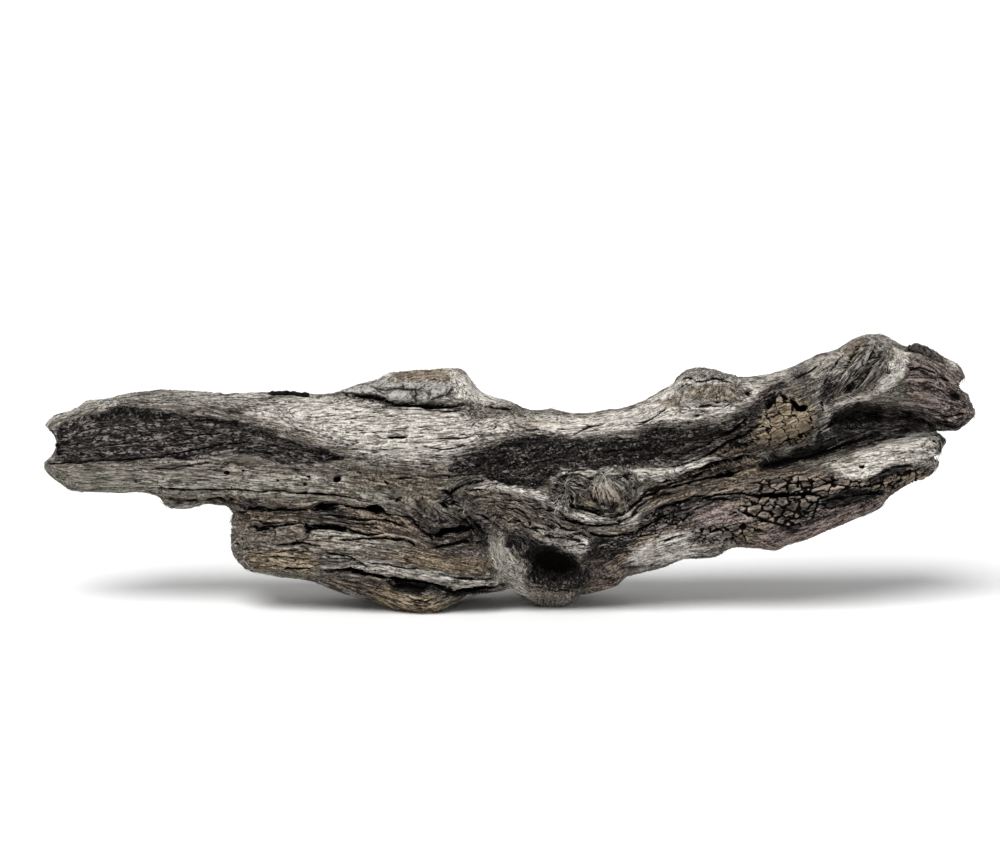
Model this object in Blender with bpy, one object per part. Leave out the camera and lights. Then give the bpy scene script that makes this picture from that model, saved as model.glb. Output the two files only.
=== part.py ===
"""Driftwood: a weathered, forked length of wood with a rotten side slab, a broken stub and scraps of bark.

The outlines are drawn in millimetres on a front sheet, which is the upright view of the wood from 8 degrees
above the ground: u runs right, v runs up the sheet, and y is the depth, away from the viewer. lift() carries a
point of the sheet and its depth into the model, which is in metres with +Z up and the ground at Z = 0. The
origin is on the ground, below the middle of the whole piece.
"""

import math

import bmesh
import bpy
import numpy as np
from mathutils import Vector
from mathutils.bvhtree import BVHTree

MM = 0.001

# The front sheet: how the viewer sees the wood
VIEW_TILT = math.radians(8.0)
VIEW_DISTANCE = 2222.0
SHEET_U = -6.4
SHEET_V = 146.8
SHEET_Z = 148.2

# Sizes that drive the model, in millimetres
RING_STEP = 4.0
RING_POINTS = 44
VOXEL = 3.6
BODY_TRIANGLES = 6700
GAP = 0.32
STUB_BACK = 12.0
GRAIN_RIDGE = 2.6
GRAIN_FINE = 1.1
FLAKE_THICK = 4.0
FLAKE_SUNK = 2.0
FLAKE_ROWS = 4
POCKET_ROOM = 0.45
KEEP_CLEAR = 400.0
WELD = 0.02
GROUND_BLOCK = (1200.0, 600.0, 100.0)

# Upper edge of the wood on the sheet, left to right
TOP_EDGE = [
    (-371, 143), (-369, 147), (-362, 151), (-350, 154), (-338, 162), (-320, 164), (-302, 169), (-277, 171),
    (-240, 169), (-225, 167.5), (-195, 169), (-150, 167.5), (-134, 170), (-115, 176.5), (-100, 181),
    (-95, 184.5), (-75, 186.5), (-42, 189), (-37, 188), (-30, 179), (-24, 170), (-12, 165), (0, 162.5),
    (18, 154.5), (35, 156), (48, 152.5), (70, 153), (90, 156), (110, 163.5), (133, 176), (139, 185),
    (152, 188.5), (168, 186.5), (180, 182), (195, 181), (220, 186.5), (240, 195), (260, 202), (275, 211),
    (290, 216), (305, 213), (317, 206), (328, 208), (341, 203), (353, 195), (364, 188), (368, 166),
    (373, 155),
]

# Lower edges: left arm and trunk (hidden behind the slab from u = -223), slab, and lower limb
TRUNK_FOOT = [
    (-371, 108), (-362, 99), (-350, 91), (-307, 89), (-285, 88), (-275, 80), (-262, 76.5), (-240, 80.5),
    (-223, 78), (-214, 62), (-200, 54), (-150, 46), (-100, 36), (-50, 30), (0, 30), (60, 28), (116, 42),
]
SLAB_HEAD = [(-221, 70), (-205, 79), (-180, 82), (-146, 84), (-100, 80), (-62, 68), (-30, 60), (4, 48)]
SLAB_FOOT = [
    (-221, 42), (-216, 33), (-206, 27), (-180, 22.5), (-160, 20), (-140, 13), (-120, 6), (-100, 0), (-90, -4),
    (-58, -8), (-50, -2), (-38, 4), (-20, 10), (4, 14),
]
UPPER_LIMB_FOOT = [
    (58, 100), (105, 108), (150, 116), (200, 122), (230, 133), (255, 147), (280, 157), (305, 159), (330, 153),
    (344, 139), (360, 139), (369, 146), (373, 150),
]
LOWER_LIMB_HEAD = [
    (56, 84), (105, 104), (150, 111), (200, 111), (225, 114), (255, 121), (290, 131), (320, 136), (335, 138),
    (344, 137), (351, 132),
]
LOWER_LIMB_FOOT = [
    (56, 12), (65, 8.5), (87, 15), (91, 20), (108, 26), (125, 31), (143, 37), (165, 38.5), (180, 46),
    (200, 46), (210, 43.5), (230, 49.5), (253, 58.5), (280, 69.5), (298, 77), (304, 86), (322, 96.5),
    (335, 102), (341, 106), (344, 112), (346, 124), (351, 129),
]
RECESS_HEAD = [(90, 130), (150, 135), (230, 150), (280, 172), (330, 168), (342, 150)]
RECESS_FOOT = [(90, 88), (150, 95), (230, 100), (280, 112), (330, 120), (342, 126)]

# Depth of the front and the back of each length, as (u, front y, back y)
TRUNK_DEPTH = [
    (-371, -20, 18), (-364, -28, 27), (-345, -35, 34), (-280, -38, 38), (-200, -41, 46), (-120, -45, 56),
    (-40, -46, 62), (40, -44, 62), (116, -42, 50),
]
SLAB_DEPTH = [(-221, -30, 14), (-205, -46, 30), (-150, -53, 40), (-60, -55, 46), (-20, -50, 44), (4, -40, 30)]
UPPER_LIMB_DEPTH = [
    (58, -38, 46), (105, -40, 46), (150, -44, 48), (200, -42, 47), (255, -44, 44), (300, -45, 40),
    (340, -38, 33), (362, -28, 24), (373, -14, 12),
]
LOWER_LIMB_DEPTH = [
    (56, -46, 46), (105, -52, 48), (150, -53, 46), (200, -55, 42), (260, -52, 34), (300, -45, 27),
    (330, -36, 19), (345, -24, 6), (351, -16, 0),
]
RECESS_DEPTH = [
    (90, -38, 42), (120, -38, 42), (150, -36, 40), (190, -31, 38), (230, -25, 36), (300, -18, 30),
    (342, -12, 16),
]

# The stub, as level rings of (v, left u, right u, front y, back y), and the worn foot behind it
STUB_RINGS = [
    (101, -8, 22, -36, 24), (96, -28, 36, -46, 26), (86, -38, 54, -54, 26), (75, -24, 60, -58, 26),
    (60, -19, 66, -60, 26), (45, -17, 70, -60, 24), (35, -16, 70, -58, 22), (25, -14, 69, -54, 19),
    (16, -6, 65, -48, 16), (11, 4, 61, -42, 13), (7, 11, 57, -36, 11), (2, 19, 52, -27, 8),
    (-4, 24, 45, -14, 4),
]
HEEL_RINGS = [
    (60, -10, 70, 10, 56), (40, -4, 66, 14, 56), (20, 6, 56, 18, 51), (8, 14, 50, 21, 46),
    (-3, 17, 47, 24, 42),
]

# Relief of the front face, as (kind, half width, depth, points): a groove sinks and a ridge stands out
STROKES = [
    ("groove", 3.0, 5.0, [(-290, 92), (-250, 91.5), (-200, 90), (-160, 88), (-128, 86)]),
    ("groove", 3.0, 4.0, [(-275, 83), (-246, 83), (-215, 84)]),
    ("groove", 3.5, 9.0, [(-222, 74), (-205, 76), (-190, 75), (-160, 76), (-134, 80), (-113, 76), (-88, 71),
                          (-74, 65), (-62, 57)]),
    ("groove", 3.0, 6.0, [(-206, 61), (-190, 61), (-170, 65), (-150, 62), (-122, 59), (-106, 53), (-85, 51),
                          (-72, 44)]),
    ("groove", 3.5, 5.0, [(-172, 49), (-160, 54), (-158, 60)]),
    ("groove", 3.5, 8.0, [(-150, 27), (-125, 28), (-88, 21), (-60, 17), (-42, 11), (-5, 14)]),
    ("ridge", 4.0, 3.0, [(-125, 32), (-90, 29), (-60, 24), (-40, 19), (-5, 16)]),
    ("groove", 4.0, 7.0, [(-45, 91), (-28, 98), (-15, 101), (-5, 100), (8, 94)]),
    ("groove", 5.0, 10.0, [(-20, 74), (-20, 60), (-17, 45), (-12, 30)]),
    ("ridge", 4.0, 6.0, [(-10, 93), (10, 91), (20, 88), (30, 84), (45, 76)]),
    ("ridge", 4.5, 6.0, [(25, 49), (40, 46), (55, 45), (66, 40)]),
    ("groove", 4.0, 8.0, [(42, 73), (50, 67), (67, 62), (76, 56), (105, 60)]),
    ("groove", 3.0, 5.0, [(50, 77), (68, 73), (92, 71), (104, 80), (122, 91), (140, 95), (180, 104)]),
    ("ridge", 4.0, 4.0, [(62, 69), (90, 66), (110, 78), (140, 88), (175, 96)]),
    ("groove", 6.0, 4.0, [(-40, 112), (-5, 112), (20, 115), (50, 119), (85, 122), (125, 124), (160, 128)]),
    ("ridge", 5.0, 3.0, [(-30, 126), (0, 135), (35, 139), (80, 140), (120, 147), (160, 153)]),
    ("groove", 4.0, 6.0, [(178, 104), (200, 110), (225, 115), (255, 123), (290, 134)]),
    ("groove", 3.0, 5.0, [(200, 86), (240, 88), (270, 88), (300, 90)]),
    ("ridge", 5.0, 3.5, [(205, 97), (240, 101), (262, 106)]),
    ("ridge", 5.0, 4.0, [(288, 103), (310, 108), (340, 118)]),
    ("ridge", 5.0, 3.0, [(200, 62), (240, 72), (280, 82), (303, 88)]),
    ("ridge", 5.0, 4.0, [(140, 104), (170, 118), (200, 132), (235, 150)]),
    ("groove", 4.0, 4.0, [(150, 128), (180, 140), (200, 150)]),
    ("groove", 3.5, 5.0, [(140, 178), (160, 181), (182, 176)]),
    ("groove", 3.5, 5.0, [(250, 182), (262, 190), (276, 204)]),
    ("ridge", 5.0, 5.0, [(262, 175), (275, 190), (288, 208)]),
    ("groove", 3.5, 5.0, [(272, 170), (285, 186), (298, 206)]),
    ("ridge", 5.0, 4.0, [(262, 162), (290, 168), (308, 180), (318, 196)]),
    ("groove", 4.0, 6.0, [(318, 204), (335, 198), (348, 192)]),
    ("groove", 3.0, 4.0, [(322, 176), (345, 170), (362, 166)]),
]

# Lumps and pits of the front face, as (u, v, half width, half height, slant in degrees, height)
MOUNDS = [
    (50, 91, 15, 12, 10, 8), (84, 93, 17, 14, 15, 9), (-172, 56, 13, 6, 8, 5), (160, 170, 26, 15, 0, 8),
    (108, 45, 26, 12, 25, 4), (165, 68, 18, 8, 15, 4), (-146, 77, 13, 6, 5, -14), (-74, 16, 19, 6, -8, -12),
    (-38, 57, 19, 10, -35, -14), (36, 33, 28, 16, -5, -15), (-107, 75, 6, 3.5, 0, -8), (235, 157, 8, 5, 0, -7),
    (283, 148, 22, 9, 15, -8), (165, 167, 14, 5, 5, -6), (357, 164, 6, 5, 0, -6), (-161, 60, 5, 4, 0, -7),
    (160, 54, 15, 7, 0, 3), (222, 165, 20, 9, 25, 4),
]

# The stained hollow along the left arm, and the notch that splits its end into two lobes
STAIN_EDGE = [
    (-362, 143), (-340, 151), (-325, 153), (-310, 160), (-285, 155), (-250, 152), (-220, 147), (-195, 140),
    (-165, 131), (-125, 116), (-150, 111), (-180, 110), (-200, 117), (-235, 119), (-262, 113), (-285, 117),
    (-335, 113), (-362, 112),
]
STAIN_SINK = 5.0
NOTCHES = [(-374, 128, 13, 15, 11), (374, 175, 13, 8, 14), (348, 117, 8, 4.5, 8)]

# Where the wood forks, drawn on the sheet
SLAB_PART = [
    (-300, -60), (-300, 71), (-224, 73), (-200, 76), (-160, 76), (-134, 79), (-100, 74), (-74, 65), (-58, 57),
    (-20.5, 59), (-17.5, 45), (-16, 32), (-13, 18), (-13, -60),
]
STUB_PART = [
    (-13, -60), (-13, 18), (-16, 32), (-17.5, 45), (-20.5, 59), (-44, 86), (-28, 97), (-5, 99), (20, 83),
    (48, 69), (67, 61), (75, 30), (72, -60),
]
UPPER_PART = [(112, 300), (107, 112), (180, 116), (250, 133), (290, 143), (344, 138), (420, 136), (420, 300)]
LOWER_PART = [(107, 112), (180, 116), (250, 133), (290, 143), (344, 138), (420, 136), (420, -60), (100, -60)]

# Bark scraps: lower edge, upper edge, stops along them, depth where they lie, how proud the lower lip is, and
# the lean of their outer face from upright
BARK_PLATE = (
    [(-134, 167.5), (-115, 167), (-100, 165.5), (-90, 162.5), (-74, 162), (-60, 163), (-45, 168)],
    [(-134, 170), (-124, 175), (-100, 177), (-75, 177.5), (-60, 176), (-45, 173)],
    12, -26.0, 0.5, math.radians(34.0),
)
END_BARK = (
    [(318, 199), (327, 198), (335, 196), (343, 192), (351, 188)],
    [(318, 205), (327, 209), (335, 207), (343, 202), (351, 195)],
    7, -16.0, 0.3, math.radians(58.0),
)
SLIVER_SPINE = [(-192, 170.0), (-184, 170.5), (-172, 170.5), (-163, 169.5)]

# Colours of the materials, linear, with their roughness
BLEACHED = ((0.36, 0.34, 0.30, 1.0), 0.88)
OCHRE = ((0.21, 0.15, 0.09, 1.0), 0.92)
WORN = ((0.24, 0.21, 0.17, 1.0), 0.90)
GREY_BARK = ((0.17, 0.17, 0.17, 1.0), 0.93)
DARK_BARK = ((0.05, 0.045, 0.04, 1.0), 0.93)
LICHENED = ((0.16, 0.17, 0.14, 1.0), 0.95)

GRID_SIZE = 4096


def lift(points):
    """Model position, in metres, of sheet points given as rows of u, v and depth y."""
    u, v, y = points[:, 0], points[:, 1], points[:, 2]
    sin_tilt, cos_tilt = math.sin(VIEW_TILT), math.cos(VIEW_TILT)
    right = u - SHEET_U
    up = v - SHEET_V
    # The sheet height of a point is D * (y sin + h cos) / (D + y cos - h sin), solved here for its height h.
    height = (up * (VIEW_DISTANCE + y * cos_tilt) - VIEW_DISTANCE * y * sin_tilt) / (
        VIEW_DISTANCE * cos_tilt + up * sin_tilt
    )
    shrink = (VIEW_DISTANCE + y * cos_tilt - height * sin_tilt) / VIEW_DISTANCE
    return np.column_stack((SHEET_U + right * shrink, y, SHEET_Z + height)) * MM


def along(edge, u):
    """Height of a drawn edge at the positions u."""
    table = np.array(edge, float)
    return np.interp(u, table[:, 0], table[:, 1])


def grid_noise(position, seed):
    """Smooth repeatable noise from -1 to 1 at rows of positions."""
    lattice = np.random.default_rng(seed).uniform(-1.0, 1.0, GRID_SIZE)
    cell = np.floor(position).astype(np.int64)
    part = position - cell
    part = part * part * (3.0 - 2.0 * part)
    total = np.zeros(len(position))
    for corner in range(8):
        step = np.array([corner & 1, corner >> 1 & 1, corner >> 2 & 1])
        key = (cell + step) * np.array([73856093, 19349663, 83492791])
        index = (key[:, 0] ^ key[:, 1] ^ key[:, 2]) % GRID_SIZE
        weight = np.prod(np.where(step == 1, part, 1.0 - part), axis=1)
        total += weight * lattice[index]
    return total


def smooth_step(low, high, value):
    """Ramp from 0 to 1 between two levels."""
    part = np.clip((value - low) / (high - low), 0.0, 1.0)
    return part * part * (3.0 - 2.0 * part)


def distance_to(line, u, v):
    """Distance from sheet positions to a drawn line."""
    best = np.full(len(u), 1e6)
    for (u0, v0), (u1, v1) in zip(line, line[1:]):
        run = np.array([u1 - u0, v1 - v0], float)
        share = np.clip(((u - u0) * run[0] + (v - v0) * run[1]) / (run @ run), 0.0, 1.0)
        best = np.minimum(best, np.hypot(u - u0 - share * run[0], v - v0 - share * run[1]))
    return best


def inside(outline, u, v):
    """Whether sheet positions lie inside a closed outline."""
    hit = np.zeros(len(u), bool)
    for (u0, v0), (u1, v1) in zip(outline, outline[1:] + outline[:1]):
        if v0 != v1:
            crosses = (v0 > v) != (v1 > v)
            hit ^= crosses & (u < (u1 - u0) * (v - v0) / (v1 - v0) + u0)
    return hit


def add_rings(bm, rings):
    """Close a row of rings of points into one solid."""
    loops = [[bm.verts.new(point) for point in ring] for ring in rings]
    for first, second in zip(loops, loops[1:]):
        for i in range(len(first)):
            j = (i + 1) % len(first)
            bm.faces.new((first[i], first[j], second[j], second[i]))
    bm.faces.new(loops[0][::-1])
    bm.faces.new(loops[-1])


def length_rings(head, foot, depth, squareness, nose=0.0):
    """Rings of a length that runs along u, square to the ground, held between its two drawn edges."""
    table = np.array(depth, float)
    start, end = table[0, 0], table[-1, 0]
    stops = np.linspace(start, end, max(3, int((end - start) / RING_STEP)))
    angle = np.linspace(0.0, 2.0 * math.pi, RING_POINTS, endpoint=False)
    power = 2.0 / squareness
    across = np.sign(np.cos(angle)) * np.abs(np.cos(angle)) ** power
    out = np.sign(np.sin(angle)) * np.abs(np.sin(angle)) ** power
    tilt = math.tan(VIEW_TILT)
    rings = []
    for u in stops:
        high, low = along(head, u), along(foot, u)
        front = np.interp(u, table[:, 0], table[:, 1])
        back = np.interp(u, table[:, 0], table[:, 2])
        middle, half_depth = (front + back) / 2.0, (back - front) / 2.0
        half = (high - low) / 2.0
        half = math.sqrt(max(half * half - (tilt * half_depth) ** 2, (0.6 * half) ** 2))
        y = middle - half_depth * out
        bulge = nose * half * np.abs(out) * (1.0 - np.abs(across))
        v = (high + low) / 2.0 + half * across + bulge + tilt * (y - middle)
        rings.append([(u, v[i], y[i]) for i in range(RING_POINTS)])
    return rings


def level_rings(stations, squareness):
    """Rings of an upright length, each level on the sheet."""
    table = np.array(stations, float)[::-1]
    heights = np.linspace(table[0, 0], table[-1, 0], max(4, int((table[-1, 0] - table[0, 0]) / RING_STEP)))
    angle = np.linspace(0.0, 2.0 * math.pi, RING_POINTS, endpoint=False)
    power = 2.0 / squareness
    side = np.sign(np.cos(angle)) * np.abs(np.cos(angle)) ** power
    out = np.sign(np.sin(angle)) * np.abs(np.sin(angle)) ** power
    rings = []
    for v in heights:
        left, right, front, back = (np.interp(v, table[:, 0], table[:, k]) for k in (1, 2, 3, 4))
        u = (left + right) / 2.0 + (right - left) / 2.0 * side
        y = (front + back) / 2.0 + (back - front) / 2.0 * out
        rings.append([(u[i], v, y[i]) for i in range(RING_POINTS)])
    return rings


def new_object(name, bm):
    """Object made from a bmesh, with its faces pointing out."""
    bmesh.ops.recalc_face_normals(bm, faces=bm.faces)
    mesh = bpy.data.meshes.new(name)
    bm.to_mesh(mesh)
    bm.free()
    made = bpy.data.objects.new(name, mesh)
    bpy.context.scene.collection.objects.link(made)
    return made


def settle(made):
    """Apply the modifiers of an object to its mesh."""
    bpy.context.view_layer.update()
    graph = bpy.context.evaluated_depsgraph_get()
    mesh = bpy.data.meshes.new_from_object(made.evaluated_get(graph))
    made.modifiers.clear()
    old = made.data
    made.data = mesh
    bpy.data.meshes.remove(old)
    mesh.name = made.name


def sheet_points(mesh):
    """Vertex positions and normals of a mesh as arrays."""
    count = len(mesh.vertices)
    position, normal = np.empty(count * 3), np.empty(count * 3)
    mesh.vertices.foreach_get("co", position)
    mesh.vertices.foreach_get("normal", normal)
    return position.reshape(-1, 3), normal.reshape(-1, 3)


def set_points(mesh, position):
    """Move the vertices of a mesh."""
    mesh.vertices.foreach_set("co", position.ravel())
    mesh.update()


def grow_wood():
    """The whole wood on the sheet, before its relief: every length fused into one skin."""
    bm = bmesh.new()
    add_rings(bm, length_rings(TOP_EDGE, TRUNK_FOOT, TRUNK_DEPTH, 2.3, nose=-0.12))
    add_rings(bm, length_rings(SLAB_HEAD, SLAB_FOOT, SLAB_DEPTH, 3.0))
    add_rings(bm, length_rings(TOP_EDGE, UPPER_LIMB_FOOT, UPPER_LIMB_DEPTH, 2.3))
    add_rings(bm, length_rings(LOWER_LIMB_HEAD, LOWER_LIMB_FOOT, LOWER_LIMB_DEPTH, 2.4))
    add_rings(bm, length_rings(RECESS_HEAD, RECESS_FOOT, RECESS_DEPTH, 2.4))
    add_rings(bm, level_rings(STUB_RINGS, 2.8))
    add_rings(bm, level_rings(HEEL_RINGS, 2.4))
    wood = new_object("wood", bm)
    remesh = wood.modifiers.new("fuse", "REMESH")
    remesh.mode = "VOXEL"
    remesh.voxel_size = VOXEL
    remesh.adaptivity = 0.0
    smooth = wood.modifiers.new("soften", "SMOOTH")
    smooth.factor = 0.5
    smooth.iterations = 3
    settle(wood)
    return wood


def carve(wood):
    """Cut the relief of the front, then the grain of the sides and the back."""
    position, normal = sheet_points(wood.data)
    u, v, y = position.T
    facing = normal[:, 2]
    faces_front = smooth_step(0.05, 0.55, -facing)
    depth = np.zeros(len(u))
    for kind, width, reach, line in STROKES:
        near = np.exp(-((distance_to(line, u, v) / width) ** 2))
        depth += near * reach * (1.0 if kind == "groove" else -1.0)
    for mid_u, mid_v, wide, high, slant, rise in MOUNDS:
        turn = math.radians(slant)
        du, dv = u - mid_u, v - mid_v
        across = (du * math.cos(turn) + dv * math.sin(turn)) / wide
        upward = (dv * math.cos(turn) - du * math.sin(turn)) / high
        depth -= rise * np.clip(1.0 - across**2 - upward**2, 0.0, 1.0) ** 0.7
    edge = distance_to(STAIN_EDGE + STAIN_EDGE[:1], u, v)
    depth += np.where(inside(STAIN_EDGE, u, v), STAIN_SINK * smooth_step(0.0, 6.0, edge), 0.0)
    position[:, 2] += depth * faces_front
    for mid_u, mid_v, wide, high, sink in NOTCHES:
        near = np.clip(1.0 - ((u - mid_u) / wide) ** 2 - ((v - mid_v) / high) ** 2, 0.0, 1.0)
        position[:, 0] -= math.copysign(1.0, mid_u) * sink * near
    grain = np.column_stack((u / 70.0, v / 11.0, y / 11.0))
    fibre = np.column_stack((u / 28.0, v / 5.0, y / 5.0))
    ripple = GRAIN_RIDGE * grid_noise(grain, 3) + GRAIN_FINE * grid_noise(fibre, 5)
    at_back = smooth_step(-0.2, 0.5, facing)
    at_outline = 1.0 - smooth_step(0.1, 0.4, np.abs(facing))
    strength = 0.45 + 0.5 * at_back - 0.25 * at_outline
    position += normal * (ripple * strength)[:, None]
    set_points(wood.data, position)
    thin = wood.modifiers.new("thin", "DECIMATE")
    wood.data.calc_loop_triangles()
    thin.ratio = BODY_TRIANGLES / len(wood.data.loop_triangles)
    thin.use_collapse_triangulate = True
    settle(wood)


def flake(name, tree, scrap, room=0.0):
    """A scrap of bark that lies on the wood between two edges, half sunk in it, with a proud lower lip.

    With room it is the pocket that holds the scrap, larger all round by that much.
    """
    low, high, stops, base, lip, lean = scrap
    out = Vector((0.0, math.sin(lean), -math.cos(lean)))
    across = Vector((0.0, math.cos(lean), math.sin(lean)))
    bm = bmesh.new()
    rings = []
    for i, u in enumerate(np.linspace(low[0][0], low[-1][0], stops)):
        bottom, top = along(low, u), along(high, u)
        ragged = 0.8 * math.sin(2.7 * i) + 0.5 * math.sin(5.1 * i)
        end_room = Vector((room * ((i == stops - 1) - (i == 0)), 0.0, 0.0))
        outer, inner = [], []
        for k in range(FLAKE_ROWS):
            share = k / (FLAKE_ROWS - 1)
            point = Vector((u, bottom + (top - bottom) * share + ragged * (1.0 - share), base))
            seat = tree.ray_cast(point + out * KEEP_CLEAR, -out)[0]
            lifted = FLAKE_THICK * (1.0 + lip * (1.0 - share)) * (0.85 + 0.15 * math.sin(1.9 * i + k))
            edge = end_room + across * room * ((k == FLAKE_ROWS - 1) - (k == 0))
            outer.append(seat + edge + out * (lifted + room))
            inner.append(seat + edge - out * (FLAKE_SUNK + room))
        rings.append(outer + inner[::-1])
    add_rings(bm, rings)
    bmesh.ops.triangulate(bm, faces=bm.faces)
    return new_object(name, bm)


def sliver(name, room=0.0):
    """The thin dark sliver that lies along the top of the left arm, or with room its pocket."""
    bm = bmesh.new()
    rings = []
    last = len(SLIVER_SPINE) - 1
    for i, (u, v) in enumerate(SLIVER_SPINE):
        half = 5.0 - 1.2 * abs(i - 1.5) + room
        u += room * ((i == last) - (i == 0))
        low, high = v - 5.0 - room, v + 2.3 + room
        rings.append([(u, low, -2.0 - half), (u, high, -1.0 - half), (u, high, half), (u, low, half)])
    add_rings(bm, rings)
    return new_object(name, bm)


def grown(outline, reach):
    """An outline moved outwards all round."""
    count = len(outline)
    area = sum(outline[i][0] * outline[(i + 1) % count][1] - outline[(i + 1) % count][0] * outline[i][1]
               for i in range(count))
    turn = 1.0 if area > 0 else -1.0
    moved = []
    for i, point in enumerate(outline):
        here = Vector(point)
        before = (here - Vector(outline[i - 1])).normalized()
        after = (Vector(outline[(i + 1) % count]) - here).normalized()
        out = (Vector((before.y, -before.x)) + Vector((after.y, -after.x))) * turn
        moved.append(tuple(here + out * reach / max(0.5, 0.5 * out.length_squared)))
    return moved


def prism(name, outline, near, far):
    """Cutter that runs along the line of sight through an outline on the sheet."""
    bm = bmesh.new()
    add_rings(bm, [[(u, v, near) for u, v in outline], [(u, v, far) for u, v in outline]])
    cutter = new_object(name, bm)
    stand(cutter)
    cutter.hide_render = True
    cutter.display_type = "WIRE"
    return cutter


def stand(made):
    """Carry an object from the sheet into the model."""
    position, _ = sheet_points(made.data)
    set_points(made.data, lift(position))
    bm = bmesh.new()
    bm.from_mesh(made.data)
    bmesh.ops.recalc_face_normals(bm, faces=bm.faces)
    bm.to_mesh(made.data)
    bm.free()


def cut(made, cutter, how):
    """Boolean of an object with a cutter, applied."""
    step = made.modifiers.new(how.lower(), "BOOLEAN")
    step.operation = how
    step.object = cutter
    step.solver = "EXACT"
    settle(made)


def copy_of(made, name):
    """Copy of an object with its own mesh."""
    twin = made.copy()
    twin.data = made.data.copy()
    twin.name = name
    twin.data.name = name
    bpy.context.scene.collection.objects.link(twin)
    return twin


def keep_main_body(made):
    """Merge stray points, then keep the largest of the bodies in a mesh."""
    bm = bmesh.new()
    bm.from_mesh(made.data)
    bmesh.ops.remove_doubles(bm, verts=bm.verts, dist=WELD * MM)
    bmesh.ops.dissolve_degenerate(bm, edges=bm.edges, dist=WELD * MM)
    bmesh.ops.triangulate(bm, faces=bm.faces)
    left = set(bm.faces)
    bodies = []
    while left:
        body, queue = set(), [left.pop()]
        while queue:
            face = queue.pop()
            body.add(face)
            for edge in face.edges:
                for other in edge.link_faces:
                    if other in left:
                        left.remove(other)
                        queue.append(other)
        bodies.append(body)
    bodies.sort(key=len)
    crumbs = [face for body in bodies[:-1] for face in body]
    bmesh.ops.delete(bm, geom=crumbs, context="FACES")
    bmesh.ops.delete(bm, geom=[vert for vert in bm.verts if not vert.link_faces], context="VERTS")
    bm.to_mesh(made.data)
    bm.free()


def ground_block():
    """Block below the ground, whose top cuts the worn feet flat."""
    bm = bmesh.new()
    bmesh.ops.create_cube(bm, size=1.0)
    long, deep, thick = (side * MM for side in GROUND_BLOCK)
    for vert in bm.verts:
        vert.co = Vector((vert.co.x * long, vert.co.y * deep, (vert.co.z - 0.5) * thick))
    block = new_object("ground_block", bm)
    block.hide_render = True
    block.display_type = "WIRE"
    return block


def paint(made, name, look):
    """Give an object its own material."""
    colour, roughness = look
    material = bpy.data.materials.new(name)
    material.use_nodes = True
    surface = material.node_tree.nodes["Principled BSDF"]
    surface.inputs["Base Color"].default_value = colour
    surface.inputs["Roughness"].default_value = roughness
    surface.inputs["Metallic"].default_value = 0.0
    made.data.materials.clear()
    made.data.materials.append(material)
    for face in made.data.polygons:
        face.use_smooth = False


def main():
    """Build every piece of the driftwood."""
    for old in list(bpy.data.objects):
        bpy.data.objects.remove(old, do_unlink=True)

    wood = grow_wood()
    carve(wood)
    tree = BVHTree.FromPolygons(
        [vert.co for vert in wood.data.vertices], [tuple(face.vertices) for face in wood.data.polygons]
    )
    plate = flake("bark_plate", tree, BARK_PLATE)
    crust = flake("end_bark", tree, END_BARK)
    chip = sliver("bark_sliver")
    plate_pocket = flake("bark_plate_pocket", tree, BARK_PLATE, POCKET_ROOM)
    crust_pocket = flake("end_bark_pocket", tree, END_BARK, POCKET_ROOM)
    chip_pocket = sliver("bark_sliver_pocket", POCKET_ROOM)
    for made in (wood, plate, crust, chip, plate_pocket, crust_pocket, chip_pocket):
        stand(made)
    for pocket in (plate_pocket, crust_pocket, chip_pocket):
        pocket.hide_render = True
        pocket.display_type = "WIRE"
    ground = ground_block()
    cut(wood, ground, "DIFFERENCE")

    # The pieces that part from the trunk, each with the depth that it runs through
    parts = [
        ("side_slab", SLAB_PART, KEEP_CLEAR, OCHRE),
        ("branch_stub", STUB_PART, STUB_BACK, WORN),
        ("upper_limb", UPPER_PART, KEEP_CLEAR, WORN),
        ("lower_limb", LOWER_PART, KEEP_CLEAR, WORN),
    ]
    half_gap = GAP / 2.0
    for name, outline, far, look in parts:
        piece = copy_of(wood, name)
        cutter = prism("core_" + name, grown(outline, -half_gap), -KEEP_CLEAR, far - half_gap)
        cut(piece, cutter, "INTERSECT")
        paint(piece, name, look)
        keep_main_body(piece)
    trunk = wood
    trunk.name = "trunk"
    for name, outline, far, _ in parts:
        cutter = prism("space_" + name, grown(outline, half_gap), -KEEP_CLEAR, far + half_gap)
        cut(trunk, cutter, "DIFFERENCE")

    keep_main_body(trunk)
    paint(trunk, "trunk", BLEACHED)
    paint(plate, "bark_plate", GREY_BARK)
    paint(chip, "bark_sliver", DARK_BARK)
    paint(crust, "end_bark", LICHENED)
    upper_limb = bpy.data.objects["upper_limb"]
    for host, pocket in ((trunk, plate_pocket), (trunk, chip_pocket), (upper_limb, crust_pocket)):
        cut(host, pocket, "DIFFERENCE")
        keep_main_body(host)


main()
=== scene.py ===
"""Driftwood: a weathered, forked length of wood with a rotten slab, a hollow stub, knots and bark scraps.

The wood is drawn in millimetres on a front sheet, its upright view from 8 degrees above the ground: u runs
right, v runs up the sheet and y is the depth away from the viewer. Lengths are lofted from drawn edges, fused
into one skin, carved with drawn cracks, ledges, lumps and pits, then given grain that follows drawn flow
lines. lift() carries the skin into the model's frame, where it is parted at the forks.
"""

import math

import bmesh
import bpy
import numpy as np
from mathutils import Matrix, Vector
from mathutils.bvhtree import BVHTree


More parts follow.
